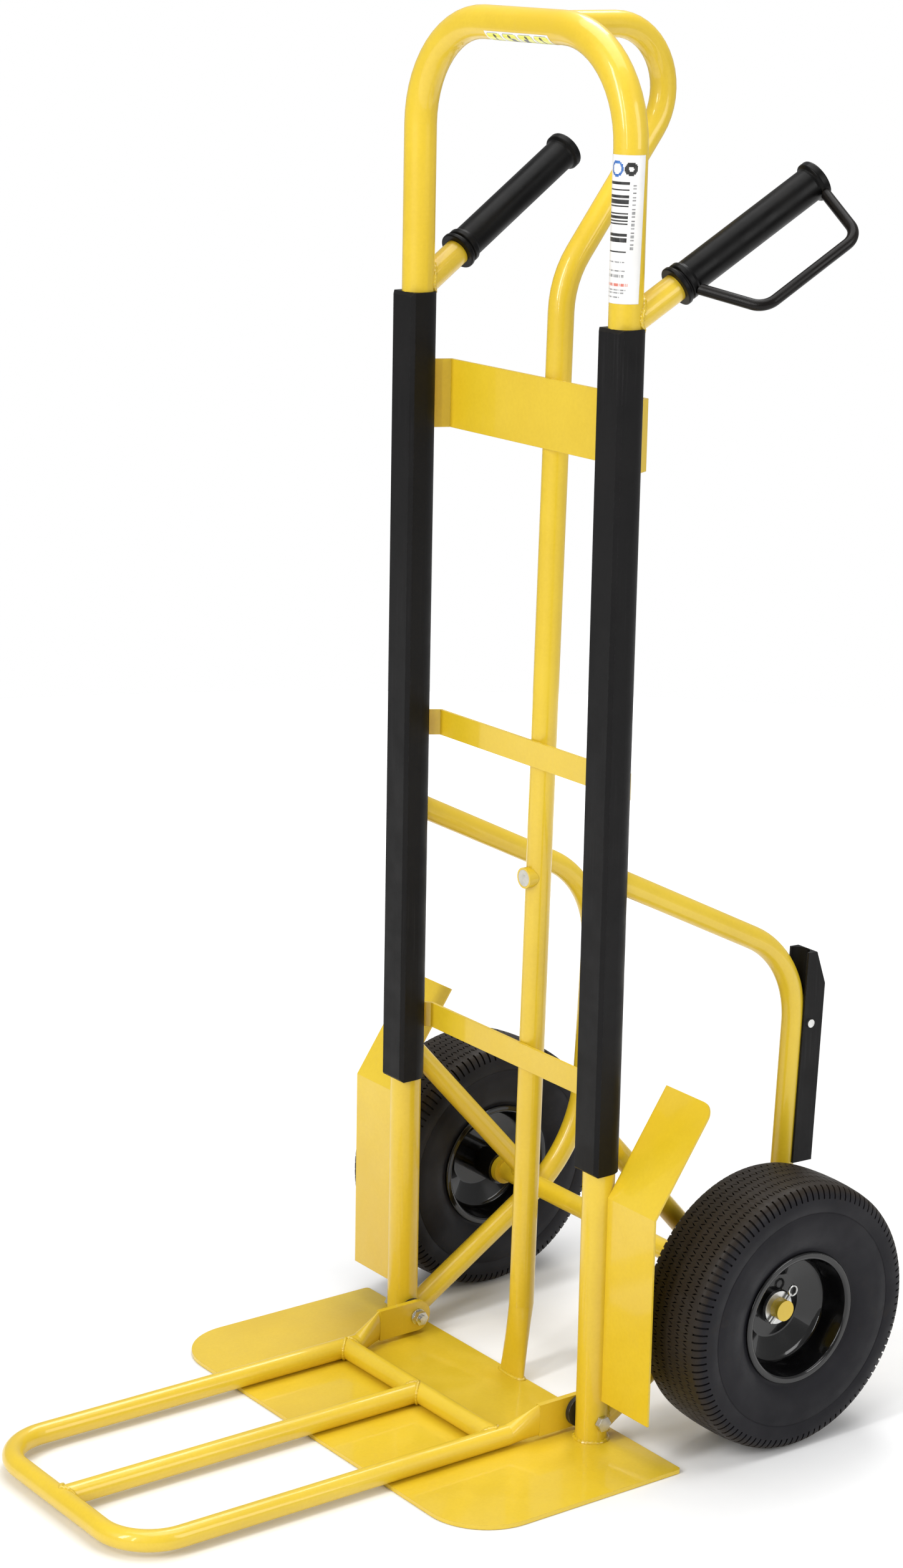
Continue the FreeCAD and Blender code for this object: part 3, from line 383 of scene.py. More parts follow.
@dataclass(frozen=True)
class Finish:
    """One layered finish: tinted base, rubbed patches, worn edges with a painted edge highlight,
    dust, grain and coat.
    """

    name: str
    base: Colour
    tint: Colour
    tint_scale: float = 9.0
    roughness: float = 0.5
    roughness_spread: float = 0.1
    metallic: float = 0.0
    specular: float = 0.5
    coat: float = 0.0
    coat_roughness: float = 0.1
    grain_scale: float = 900.0
    grain_waves: float = 0.0
    grain_height: float = 0.00005
    scuffed: Colour = (0.5, 0.5, 0.5, 1.0)
    scuff_stretch: tuple[float, float, float] = (200.0, 200.0, 12.0)
    scuff_patch: float = 14.0
    scuff_amount: float = 0.0
    line_height: float = 0.0
    # The edge colour: wear, plus a painted edge highlight where it is lighter than the base.
    worn_and_highlit: Colour = (0.4, 0.4, 0.4, 1.0)
    edge_radius: float = 0.0008
    wear_and_highlight_amount: float = 0.0
    dust: Colour = (0.42, 0.38, 0.33, 1.0)
    dust_amount: float = 0.0

    def build(self, effects: EffectLibrary) -> bpy.types.Material:
        """Make the material.

        Args:
            effects: the shared effects.

        Returns:
            The new material.
        """
        material = bpy.data.materials.new(self.name)
        material.use_nodes = True
        board = ShaderBoard(material.node_tree)
        shader = material.node_tree.nodes["Principled BSDF"]
        place = board.add("ShaderNodeTexCoord").outputs["Object"]
        colour = self.colour_over(board, effects, place)
        scuffs = effects.place(board, Effect.SCUFFS, Vector=place, Stretch=self.scuff_stretch,
                               Patch=self.scuff_patch, Amount=self.scuff_amount)
        wear_and_highlight = effects.place(board, Effect.EDGE_WEAR_AND_HIGHLIGHT, Vector=place, Radius=self.edge_radius,
                             Breakup=260.0, Amount=self.wear_and_highlight_amount)
        dust = effects.place(board, Effect.SETTLED_DUST, Vector=place, Patch=11.0,
                             Amount=self.dust_amount)
        colour = board.blend(scuffs.outputs["Mask"], colour, self.scuffed)
        # Worn edges with a painted edge highlight: on the dark and metal finishes the edges turn
        # lighter.
        colour = board.blend(wear_and_highlight.outputs["Mask"], colour, self.worn_and_highlit)
        colour = board.blend(dust.outputs["Mask"], colour, self.dust)
        board.feed(shader.inputs["Base Color"], colour)
        board.feed(shader.inputs["Roughness"], self.roughness_over(board, place, scuffs, dust))
        board.feed(shader.inputs["Normal"], self.normal_over(board, effects, place, scuffs, wear_and_highlight))
        shader.inputs["Metallic"].default_value = self.metallic
        shader.inputs["Specular IOR Level"].default_value = self.specular
        shader.inputs["Coat Weight"].default_value = self.coat
        shader.inputs["Coat Roughness"].default_value = self.coat_roughness
        return material

    def colour_over(self, board: ShaderBoard, effects: EffectLibrary,
                    place: bpy.types.NodeSocket) -> bpy.types.NodeSocket:
        """Give the base colour before wear.

        Args:
            board: the material's board.
            effects: the shared effects.
            place: the object coordinates.

        Returns:
            The colour.
        """
        cloud = effects.place(board, Effect.CLOUD_TINT, Vector=place, Scale=self.tint_scale,
                              Base=self.base, Tint=self.tint)
        return cloud.outputs["Color"]

    def roughness_over(self, board: ShaderBoard, place: bpy.types.NodeSocket,
                       scuffs: bpy.types.Node, dust: bpy.types.Node) -> bpy.types.NodeSocket:
        """Give the roughness, which drifts and rises where the surface is rubbed or dusty.

        Args:
            board: the material's board.
            place: the object coordinates.
            scuffs: the scuffs group.
            dust: the dust group.

        Returns:
            The roughness.
        """
        drift = board.noise(place, 35.0, detail=4.0)
        low, high = self.roughness - self.roughness_spread, self.roughness + self.roughness_spread
        base = board.step(drift, 0.3, 0.7, start=low, end=high)
        rubbed = board.maths("MULTIPLY", scuffs.outputs["Mask"], 0.25)
        dusty = board.maths("MULTIPLY", dust.outputs["Mask"], 0.35)
        return board.maths("ADD", base, board.maths("ADD", rubbed, dusty), clamp=True)

    def normal_over(self, board: ShaderBoard, effects: EffectLibrary,
                    place: bpy.types.NodeSocket, scuffs: bpy.types.Node,
                    wear_and_highlight: bpy.types.Node) -> bpy.types.NodeSocket:
        """Give the bumped normal from the grain and the rubbed lines.

        Args:
            board: the material's board.
            effects: the shared effects.
            place: the object coordinates.
            scuffs: the scuffs group.
            wear_and_highlight: the edge wear and painted edge highlight group, whose normal rounds
                the edges.

        Returns:
            The normal.
        """
        grain = effects.place(board, Effect.ORANGE_PEEL, Vector=place, Scale=self.grain_scale,
                              Waves=self.grain_waves)
        height = board.maths("MULTIPLY", grain.outputs["Height"], self.grain_height / MM)
        lines = board.maths("MULTIPLY", scuffs.outputs["Lines"], self.line_height / MM)
        bump = board.add("ShaderNodeBump")
        bump.inputs["Strength"].default_value = 1.0
        bump.inputs["Distance"].default_value = MM
        board.feed(bump.inputs["Height"], board.maths("ADD", height, lines))
        board.feed(bump.inputs["Normal"], wear_and_highlight.outputs["Normal"])
        return bump.outputs["Normal"]


@dataclass(frozen=True)
class Print(Finish):
    """Ink on sticker stock: smooth, evenly coated and finely grained."""

    roughness: float = 0.36
    roughness_spread: float = 0.05
    coat: float = 0.3
    coat_roughness: float = 0.16
    grain_scale: float = 1600.0
    grain_height: float = 0.000012


@dataclass(frozen=True)
class FloorPaint(Finish):
    """Pale floor paint, which turns to plain white light far from the truck."""

    fade_start: float = 0.9
    fade_end: float = 2.3
    far_glow: float = 0.45

    def build(self, effects: EffectLibrary) -> bpy.types.Material:
        """Make the material.

        Args:
            effects: the shared effects.

        Returns:
            The new material.
        """
        material = super().build(effects)
        board = ShaderBoard(material.node_tree)
        shader = material.node_tree.nodes["Principled BSDF"]
        place = board.add("ShaderNodeTexCoord").outputs["Object"]
        reach = board.add("ShaderNodeVectorMath", operation="LENGTH")
        board.feed(reach.inputs[0], place)
        glow = board.step(reach.outputs["Value"], self.fade_start, self.fade_end,
                          end=self.far_glow)
        board.feed(shader.inputs["Emission Strength"], glow)
        shader.inputs["Emission Color"].default_value = (1.0, 1.0, 1.0, 1.0)
        return material


@dataclass(frozen=True)
class TyreRubber(Finish):
    """Moulded rubber, browner on the dusty tread than on the sidewalls."""

    centre_y: float = 0.148
    centre_z: float = 0.130
    tread_radius: float = 0.1235
    tread_colour: Colour = (0.0175, 0.0125, 0.0085, 1.0)

    def colour_over(self, board: ShaderBoard, effects: EffectLibrary,
                    place: bpy.types.NodeSocket) -> bpy.types.NodeSocket:
        """Give the rubber's colour, which turns brown towards the tread.

        Args:
            board: the material's board.
            effects: the shared effects.
            place: the object coordinates.

        Returns:
            The colour.
        """
        sidewall = super().colour_over(board, effects, place)
        centred = board.add("ShaderNodeMapping")
        board.feed(centred.inputs["Vector"], place)
        centred.inputs["Location"].default_value = (0.0, -self.centre_y, -self.centre_z)
        centred.inputs["Scale"].default_value = (0.0, 1.0, 1.0)
        reach = board.add("ShaderNodeVectorMath", operation="LENGTH")
        board.feed(reach.inputs[0], centred.outputs["Vector"])
        ragged = board.maths("MULTIPLY", board.noise(place, 60.0, detail=4.0), 0.008)
        radius = board.maths("ADD", reach.outputs["Value"], ragged)
        tread = board.step(radius, self.tread_radius, self.tread_radius + 0.007)
        return board.blend(tread, sidewall, self.tread_colour)


class Finishes:
    """Every finish of the truck, and which CAD node wears which."""

    # The edge colours of the dark and metal finishes are lighter than their bases: wear plus a
    # painted edge highlight.
    YELLOW = Finish(
        "yellow_powder_coat", (0.67, 0.455, 0.012, 1.0), (0.74, 0.520, 0.020, 1.0),
        tint_scale=5.0, roughness=0.42, roughness_spread=0.06, coat=0.55, coat_roughness=0.08,
        grain_scale=520.0, grain_waves=5.0, grain_height=0.000035,
        scuffed=(0.66, 0.45, 0.06, 1.0), scuff_amount=0.30,
        worn_and_highlit=(0.50, 0.30, 0.03, 1.0), edge_radius=0.0007, wear_and_highlight_amount=0.5, dust_amount=0.02)
    WELD = Finish(
        "painted_weld", (0.60, 0.40, 0.010, 1.0), (0.72, 0.505, 0.018, 1.0),
        tint_scale=60.0, roughness=0.33, roughness_spread=0.06, coat=0.8, coat_roughness=0.08,
        grain_scale=420.0, grain_waves=3.0, grain_height=0.00012,
        worn_and_highlit=(0.35, 0.22, 0.04, 1.0), edge_radius=0.0004, wear_and_highlight_amount=0.3)
    BLACK_STRIP = Finish(
        "extruded_black_plastic", (0.0042, 0.0040, 0.0043, 1.0), (0.0066, 0.0062, 0.0065, 1.0),
        tint_scale=6.0, roughness=0.46, roughness_spread=0.07, specular=0.15,
        grain_scale=1100.0, grain_waves=2.0, grain_height=0.00002,
        scuffed=(0.030, 0.029, 0.031, 1.0), scuff_stretch=(420.0, 420.0, 9.0),
        scuff_patch=10.0, scuff_amount=0.45, line_height=0.00003,
        worn_and_highlit=(0.055, 0.053, 0.056, 1.0), edge_radius=0.0007, wear_and_highlight_amount=0.6, dust_amount=0.008)
    GRIP = Finish(
        "soft_grip_vinyl", (0.0014, 0.0013, 0.0014, 1.0), (0.0026, 0.0025, 0.0025, 1.0),
        tint_scale=22.0, roughness=0.36, roughness_spread=0.07, specular=0.13,
        grain_scale=1500.0, grain_waves=2.5, grain_height=0.00003,
        scuffed=(0.020, 0.020, 0.020, 1.0), scuff_stretch=(90.0, 90.0, 90.0),
        scuff_patch=30.0, scuff_amount=0.30, edge_radius=0.0006, worn_and_highlit=(0.030, 0.030, 0.030, 1.0),
        wear_and_highlight_amount=0.4, dust_amount=0.006)
    KNUCKLE = Finish(
        "moulded_guard_bar", (0.0036, 0.0029, 0.0027, 1.0), (0.0060, 0.0048, 0.0044, 1.0),
        tint_scale=26.0, roughness=0.33, roughness_spread=0.08, specular=0.18,
        grain_scale=1300.0, grain_waves=3.0, grain_height=0.00003,
        scuffed=(0.028, 0.023, 0.021, 1.0), scuff_stretch=(70.0, 70.0, 70.0),
        scuff_patch=26.0, scuff_amount=0.3, worn_and_highlit=(0.04, 0.035, 0.03, 1.0), wear_and_highlight_amount=0.3,
        dust_amount=0.008)
    RUBBER = TyreRubber(
        "moulded_tyre_rubber", (0.0050, 0.0048, 0.0072, 1.0), (0.0078, 0.0074, 0.0104, 1.0),
        tint_scale=12.0, roughness=0.50, roughness_spread=0.08, specular=0.20,
        grain_scale=1400.0, grain_waves=3.0, grain_height=0.00004,
        scuffed=(0.026, 0.021, 0.017, 1.0), scuff_stretch=(60.0, 60.0, 60.0),
        scuff_patch=16.0, scuff_amount=0.5, worn_and_highlit=(0.042, 0.034, 0.027, 1.0),
        edge_radius=0.0005, wear_and_highlight_amount=0.5, dust_amount=0.018)
    RIM = Finish(
        "gloss_black_enamel", (0.0018, 0.0018, 0.0020, 1.0), (0.0030, 0.0030, 0.0034, 1.0),
        tint_scale=18.0, roughness=0.20, roughness_spread=0.05, specular=0.25, coat=0.6,
        coat_roughness=0.03,
        grain_scale=240.0, grain_waves=6.0, grain_height=0.00002,
        worn_and_highlit=(0.03, 0.03, 0.03, 1.0), edge_radius=0.0008, wear_and_highlight_amount=0.3, dust_amount=0.004)
    ZINC = Finish(
        "bright_zinc_plate", (0.56, 0.56, 0.55, 1.0), (0.72, 0.72, 0.70, 1.0),
        tint_scale=120.0, roughness=0.30, roughness_spread=0.08, metallic=1.0,
        grain_scale=1800.0, grain_waves=1.0, grain_height=0.00002,
        scuffed=(0.36, 0.35, 0.33, 1.0), scuff_stretch=(500.0, 120.0, 120.0),
        scuff_patch=90.0, scuff_amount=0.6, line_height=0.00001,
        worn_and_highlit=(0.85, 0.85, 0.84, 1.0), edge_radius=0.0004, wear_and_highlight_amount=0.6)
    BEARING = Finish(
        "oiled_bearing_steel", (0.10, 0.10, 0.105, 1.0), (0.20, 0.20, 0.20, 1.0),
        tint_scale=90.0, roughness=0.34, roughness_spread=0.08, metallic=0.9,
        grain_scale=1600.0, grain_height=0.00002, scuffed=(0.05, 0.045, 0.04, 1.0),
        scuff_patch=60.0, scuff_amount=0.6, edge_radius=0.0004, wear_and_highlight_amount=0.4)
    MAGNET = Finish(
        "nickelled_magnet", (0.50, 0.49, 0.44, 1.0), (0.64, 0.62, 0.56, 1.0),
        tint_scale=140.0, roughness=0.32, roughness_spread=0.08, metallic=0.9,
        grain_scale=1500.0, grain_height=0.00003, scuffed=(0.3, 0.28, 0.24, 1.0),
        scuff_stretch=(300.0, 300.0, 300.0), scuff_patch=120.0, scuff_amount=0.6,
        edge_radius=0.0004, worn_and_highlit=(0.75, 0.74, 0.7, 1.0), wear_and_highlight_amount=0.5)
    SPACER = Finish(
        "black_nylon_spacer", (0.010, 0.010, 0.010, 1.0), (0.018, 0.018, 0.018, 1.0),
        tint_scale=60.0, roughness=0.45, roughness_spread=0.08,
        grain_scale=1200.0, grain_height=0.00003, scuffed=(0.05, 0.05, 0.05, 1.0),
        scuff_amount=0.4, wear_and_highlight_amount=0.5)
    PAPER = Finish(
        "label_paper", (0.80, 0.79, 0.77, 1.0), (0.86, 0.855, 0.84, 1.0),
        tint_scale=40.0, roughness=0.34, roughness_spread=0.05, coat=0.35, coat_roughness=0.16,
        grain_scale=1600.0, grain_waves=1.0, grain_height=0.000012, scuffed=(0.6, 0.59, 0.55, 1.0),
        scuff_stretch=(220.0, 220.0, 60.0), scuff_patch=40.0, scuff_amount=0.35)
    INK = Print(
        "printed_black", (0.012, 0.012, 0.012, 1.0), (0.03, 0.03, 0.03, 1.0),
        tint_scale=160.0, roughness=0.34, coat=0.35, scuffed=(0.35, 0.34, 0.32, 1.0),
        scuff_stretch=(240.0, 240.0, 60.0), scuff_patch=60.0, scuff_amount=0.4)
    GREY_INK = Print(
        "printed_grey", (0.22, 0.22, 0.22, 1.0), (0.38, 0.38, 0.38, 1.0), tint_scale=260.0)
    BLUE_INK = Print(
        "printed_blue", (0.035, 0.13, 0.42, 1.0), (0.06, 0.19, 0.52, 1.0),
        tint_scale=160.0, roughness=0.34, coat=0.35)
    RED_INK = Print(
        "printed_red", (0.62, 0.16, 0.12, 1.0), (0.70, 0.27, 0.20, 1.0), tint_scale=240.0)
    PANEL = Print(
        "printed_panel_yellow", (0.74, 0.74, 0.075, 1.0), (0.80, 0.80, 0.12, 1.0),
        tint_scale=90.0, roughness=0.30, coat=0.5, coat_roughness=0.12)
    FLOOR = FloorPaint(
        "pale_studio_floor", (0.88, 0.88, 0.88, 1.0), (0.90, 0.90, 0.90, 1.0),
        tint_scale=0.7, roughness=0.75, roughness_spread=0.05, specular=0.2,
        grain_scale=300.0, grain_height=0.00002)

    def __init__(self, effects: EffectLibrary) -> None:
        """Keep the shared effects and start with no material made.

        Args:
            effects: the shared effects.
        """
        self.effects = effects
        self.made: dict[str, bpy.types.Material] = {}

    def get(self, finish: Finish) -> bpy.types.Material:
        """Give the material of a finish, made on its first use.

        Args:
            finish: the finish.

        Returns:
            Its material.
        """
        if finish.name not in self.made:
            self.made[finish.name] = finish.build(self.effects)
        return self.made[finish.name]

    def for_node(self, node: str) -> Finish:
        """Choose the finish of a CAD node by its name.

        Args:
            node: the node's name.

        Returns:
            The finish that it wears.
        """
        wears = {
            "grip": self.GRIP, "knuckle_guard": self.KNUCKLE, "tyre": self.RUBBER,
            "rim_outer": self.RIM, "rim_inner": self.RIM, "hub_sleeve": self.RIM,
            "bearing_outer": self.BEARING, "bearing_inner": self.BEARING,
            "axle_washer": self.ZINC, "cotter_pin": self.ZINC, "pivot_bolt": self.ZINC,
            "pivot_nut": self.ZINC, "pivot_washer": self.ZINC, "skid_strip_screw": self.ZINC,
            "pivot_spacer": self.SPACER, "skid_strip": self.BLACK_STRIP,
            "upright_strip": self.BLACK_STRIP, "magnet": self.MAGNET,
        }
        plain = node.removeprefix("left_").removeprefix("right_")
        return wears.get(plain, self.YELLOW)

    def dress_nodes(self, nodes: dict[str, bpy.types.Object]) -> None:
        """Give every CAD node its material.

        Args:
            nodes: the CAD nodes by name.
        """
        for name, node in nodes.items():
            self.dress(node, [self.for_node(name)])
            log.info("node %s wears %s", name, self.for_node(name).name)

    def dress(self, piece: bpy.types.Object, finishes: Sequence[Finish]) -> None:
        """Put finishes into a piece's material slots, in order.

        Args:
            piece: the piece.
            finishes: its finishes.
        """
        while len(piece.material_slots) < len(finishes):
            piece.data.materials.append(None)
        for slot, finish in zip(piece.material_slots, finishes):
            slot.material = self.get(finish)


# --------------------------------------------------------------------------- modelling


class Bench:
    """The workbench: selection, edit mode and the finishing steps that the makers share."""

    @staticmethod
    def clear() -> None:
        """Leave edit mode and deselect everything."""
        if bpy.context.object and bpy.context.object.mode != "OBJECT":
            bpy.ops.object.mode_set(mode="OBJECT")
        bpy.ops.object.select_all(action="DESELECT")

    @staticmethod
    def take(name: str) -> bpy.types.Object:
        """Name the piece just added and move its place into its mesh.

        Args:
            name: the piece's name.

        Returns:
            The piece.
        """
        piece = bpy.context.active_object
        piece.name = piece.data.name = name
        bpy.ops.object.transform_apply(location=True, rotation=True, scale=True)
        return piece

    @staticmethod
    @contextmanager
    def editing(piece: bpy.types.Object) -> Iterator[None]:
        """Work on one piece in edit mode.

        Args:
            piece: the piece.

        Yields:
            Nothing; edit mode is on inside the block.
        """
        Bench.clear()
        piece.select_set(True)
        bpy.context.view_layer.objects.active = piece
        bpy.ops.object.mode_set(mode="EDIT")
        yield
        bpy.ops.object.mode_set(mode="OBJECT")

    @staticmethod
    def pick_points(piece: bpy.types.Object, test: Callable[[Vector], bool]) -> int:
        """Select the points of the edited piece that pass a test of their place.

        Args:
            piece: the piece in edit mode.
            test: takes a point's place.

        Returns:
            How many points were selected.
        """
        bpy.ops.mesh.select_mode(type="VERT")
        bpy.ops.mesh.select_all(action="DESELECT")
        shape = bmesh.from_edit_mesh(piece.data)
        chosen = [point for point in shape.verts if test(point.co)]
        for point in chosen:
            point.select_set(True)
        shape.select_flush(True)
        bmesh.update_edit_mesh(piece.data)
        return len(chosen)

    @staticmethod
    def pick_faces(piece: bpy.types.Object, test: Callable[[Vector], bool]) -> int:
        """Select the faces of the edited piece that pass a test of their middle.

        Args:
            piece: the piece in edit mode.
            test: takes a face's middle.

        Returns:
            How many faces were selected.
        """
        bpy.ops.mesh.select_mode(type="FACE")
        bpy.ops.mesh.select_all(action="DESELECT")
        shape = bmesh.from_edit_mesh(piece.data)
        chosen = [face for face in shape.faces if test(face.calc_center_median())]
        for face in chosen:
            face.select_set(True)
        bmesh.update_edit_mesh(piece.data)
        return len(chosen)

    @staticmethod
    def finish_mesh(piece: bpy.types.Object, smooth_angle: float = 35.0) -> None:
        """Merge doubles, point the faces outwards and smooth the shading.

        Args:
            piece: the piece.
            smooth_angle: edges sharper than this many degrees stay sharp.
        """
        with Bench.editing(piece):
            bpy.ops.mesh.select_all(action="SELECT")
            bpy.ops.mesh.remove_doubles(threshold=MERGE_DISTANCE)
            bpy.ops.mesh.normals_make_consistent(inside=False)
        bpy.ops.object.shade_smooth_by_angle(angle=math.radians(smooth_angle))

    @staticmethod
    def copy_of(piece: bpy.types.Object, name: str, shift: Vector) -> bpy.types.Object:
        """Copy a piece with its own mesh and move the copy.

        Args:
            piece: the piece to copy.
            name: the copy's name.
            shift: how far the copy moves.

        Returns:
            The copy.
        """
        Bench.clear()
        piece.select_set(True)
        bpy.context.view_layer.objects.active = piece
        bpy.ops.object.duplicate(linked=False)
        bpy.ops.transform.translate(value=shift)
        return Bench.take(name)


@dataclass
class Tyres:
    """The two treaded tyres: zigzag grooves, slotted shoulders and ringed sidewalls."""

    finishes: Finishes
    radius: float = 0.130
    half_tread: float = 0.0335
    offset: float = 0.2325
    axle_y: float = 0.148
    axle_z: float = 0.130
    periods: int = 108
    points_per_period: int = 4
    grooves: tuple[float, ...] = (-0.0255, -0.0153, -0.0051, 0.0051, 0.0153, 0.0255)
    groove_half_width: float = 0.0014
    groove_depth: float = 0.0050
    zigzag: float = 0.0018
    crown_drop: float = 0.0024
    sidewall: tuple[tuple[float, float], ...] = (
        (36.4, 126.3), (39.0, 123.6), (41.0, 119.8), (41.9, 116.6), (42.4, 112.0),
        (42.45, 104.2), (41.75, 103.3), (42.45, 102.4), (42.45, 93.0), (42.3, 86.0),
        (41.7, 80.5), (40.4, 75.6), (38.6, 71.4), (36.9, 68.2), (35.7, 66.4), (35.25, 64.8),
        (35.2, 60.1))
    slot_last_ring: int = 3
    slot_depth: float = 0.0021

    @property
    def segments(self) -> int:
        """Give how many points go round the tyre."""
        return self.periods * self.points_per_period

    def centre(self, side: Side) -> Vector:
        """Give a wheel's centre.

        Args:
            side: which wheel.

        Returns:
            Its centre.
        """
        return Vector((side.value * self.offset, self.axle_y, self.axle_z))

    def phase(self, place: Vector, half_step: float = 0.0) -> int:
        """Give where a point or face lies within one period of the zigzag.

        Args:
            place: the point, or the middle of the face.
            half_step: 0.5 for a face's middle, which lies between two points.

        Returns:
            0 to 3.
        """
        turn = math.atan2(place.z - self.axle_z, place.y - self.axle_y) / math.tau
        return round(turn * self.segments - half_step) % self.points_per_period

    def make(self) -> None:
        """Model the right tyre, copy it to the left, and dress both."""
        right = self.model(self.centre(Side.RIGHT))
        left = Bench.copy_of(right, "left_treaded_tyre", Vector((-2 * self.offset, 0, 0)))
        for side, tyre in ((Side.RIGHT, right), (Side.LEFT, left)):
            self.finishes.dress(tyre, [self.finishes.RUBBER])
            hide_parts(f"{side.label}_tyre")
            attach(tyre, side.wheel.value)
            log.info("%s: %d faces", tyre.name, len(tyre.data.polygons))

    def model(self, centre: Vector) -> bpy.types.Object:
        """Model one tyre round a centre.

        Args:
            centre: the wheel's centre.

        Returns:
            The tyre.
        """
        Bench.clear()
        bpy.ops.mesh.primitive_cylinder_add(
            vertices=self.segments, radius=self.radius, depth=2 * self.half_tread,
            end_fill_type="NOTHING", location=centre, rotation=(0, math.pi / 2, 0))
        tyre = Bench.take("right_treaded_tyre")
        with Bench.editing(tyre):
            self.cut_bands(centre)
            self.crown_and_zigzag(tyre, centre)
            self.press_grooves(tyre, centre)
            for sign in (-1, 1):
                self.draw_sidewall(tyre, centre, sign)
            self.press_slots(tyre, centre)
            self.close_inside(tyre)
        Bench.finish_mesh(tyre, 40.0)
        return tyre

    def cut_bands(self, centre: Vector) -> None:
        """Cut the tread across at both edges of every groove.

        Args:
            centre: the wheel's centre.
        """
        for middle in self.grooves:
            for edge in (-self.groove_half_width, self.groove_half_width):
                bpy.ops.mesh.select_all(action="SELECT")
                bpy.ops.mesh.bisect(plane_co=centre + Vector((middle + edge, 0, 0)),
                                    plane_no=(1, 0, 0))

    def crown_and_zigzag(self, tyre: bpy.types.Object, centre: Vector) -> None:
        """Round the tread across, then push its groove edges to and fro.

        Args:
            tyre: the tyre in edit mode.
            centre: the wheel's centre.
        """
        edges = sorted(middle + edge for middle in self.grooves
                       for edge in (-self.groove_half_width, self.groove_half_width))
        for offset in [-self.half_tread, *edges, self.half_tread]:
            drop = self.crown_drop * (offset / self.half_tread) ** 2
            grow = (self.radius - drop) / self.radius
            Bench.pick_points(tyre, lambda p: abs(p.x - centre.x - offset) < SAME_RING)
            bpy.ops.transform.resize(value=(1, grow, grow), center_override=centre)
        reach = self.half_tread - 0.001
        for push, phases in ((self.zigzag, (0, 1)), (-self.zigzag, (2, 3))):
            Bench.pick_points(tyre, lambda p: abs(p.x - centre.x) < reach
                              and self.phase(p) in phases)
            bpy.ops.transform.translate(value=(push, 0, 0))

    def press_grooves(self, tyre: bpy.types.Object, centre: Vector) -> None:
        """Press the zigzag grooves into the tread.

        Args:
            tyre: the tyre in edit mode.
            centre: the wheel's centre.
        """
        near = self.groove_half_width
        Bench.pick_faces(tyre, lambda p: any(
            abs(p.x - centre.x - middle) < near for middle in self.grooves))
        shrink = (self.radius - self.groove_depth) / self.radius
        bpy.ops.mesh.extrude_region_move()
        bpy.ops.transform.resize(value=(1, shrink, shrink), center_override=centre)

    def draw_sidewall(self, tyre: bpy.types.Object, centre: Vector, sign: int) -> None:
        """Draw one sidewall out from the tread's edge, ring by ring.

        Args:
            tyre: the tyre in edit mode.
            centre: the wheel's centre.
            sign: -1 or 1 for the side of the tyre.
        """
        offset, radius = self.half_tread, self.radius - self.crown_drop
        for next_offset, next_radius in self.sidewall:
            edge = centre.x + sign * offset
            now, low = radius, radius - NEAR_RING
            Bench.pick_points(tyre, lambda p: abs(p.x - edge) < SAME_RING and low < math.hypot(
                p.y - self.axle_y, p.z - self.axle_z) < now + NEAR_RING)
            bpy.ops.mesh.extrude_edges_move()
            bpy.ops.transform.translate(value=(sign * (next_offset * MM - offset), 0, 0))
            grow = next_radius * MM / radius
            bpy.ops.transform.resize(value=(1, grow, grow), center_override=centre)
            offset, radius = next_offset * MM, next_radius * MM

    def press_slots(self, tyre: bpy.types.Object, centre: Vector) -> None:
        """Press the short radial slots into both shoulders.

        Args:
            tyre: the tyre in edit mode.
            centre: the wheel's centre.
        """
        last_offset = self.sidewall[self.slot_last_ring][0] * MM
        low = self.sidewall[self.slot_last_ring][1] * MM
        Bench.pick_faces(tyre, lambda p: self.half_tread < abs(p.x - centre.x) < last_offset
                         and math.hypot(p.y - self.axle_y, p.z - self.axle_z) > low
                         and self.phase(p, 0.5) == 0)
        shrink = (self.radius - self.slot_depth) / self.radius
        narrow = (self.half_tread - 0.6 * self.slot_depth) / self.half_tread
        bpy.ops.mesh.extrude_region_move()
        bpy.ops.transform.resize(value=(narrow, shrink, shrink), center_override=centre)

    def close_inside(self, tyre: bpy.types.Object) -> None:
        """Join the two beads across the inside.

        Args:
            tyre: the tyre in edit mode.
        """
        reach = self.sidewall[-1][1] * MM + 1e-4
        Bench.pick_points(tyre, lambda p: math.hypot(
            p.y - self.axle_y, p.z - self.axle_z) < reach)
        bpy.ops.mesh.bridge_edge_loops()


@dataclass(frozen=True)
class Rod:
    """A straight round tube or bar: a point on its axis, its direction and its radius."""

    start: Vector
    along: Vector
    radius: float

    def saddle(self, host: "Rod", count: int = 72) -> list[Vector]:
        """Give the line where this rod's skin meets the skin of a host rod.

        Args:
            host: the rod that this one is fitted to.
            count: how many points the line has.

        Returns:
            The points, once round this rod, on the side that this rod points away to.
        """
        along = self.along.normalized()
        across = along.orthogonal().normalized()
        upward = along.cross(across)
        axis = host.along.normalized()
        line = []
        for index in range(count):
            turn = math.tau * index / count
            skin = self.start + self.radius * (math.cos(turn) * across + math.sin(turn) * upward)
            gap = skin - host.start
            gap -= gap.dot(axis) * axis
            run = along - along.dot(axis) * axis
            square, middle = run.dot(run), gap.dot(run)
            rest = max(middle ** 2 - square * (gap.dot(gap) - host.radius ** 2), 0.0)
            line.append(skin + along * ((math.sqrt(rest) - middle) / square))
        return line


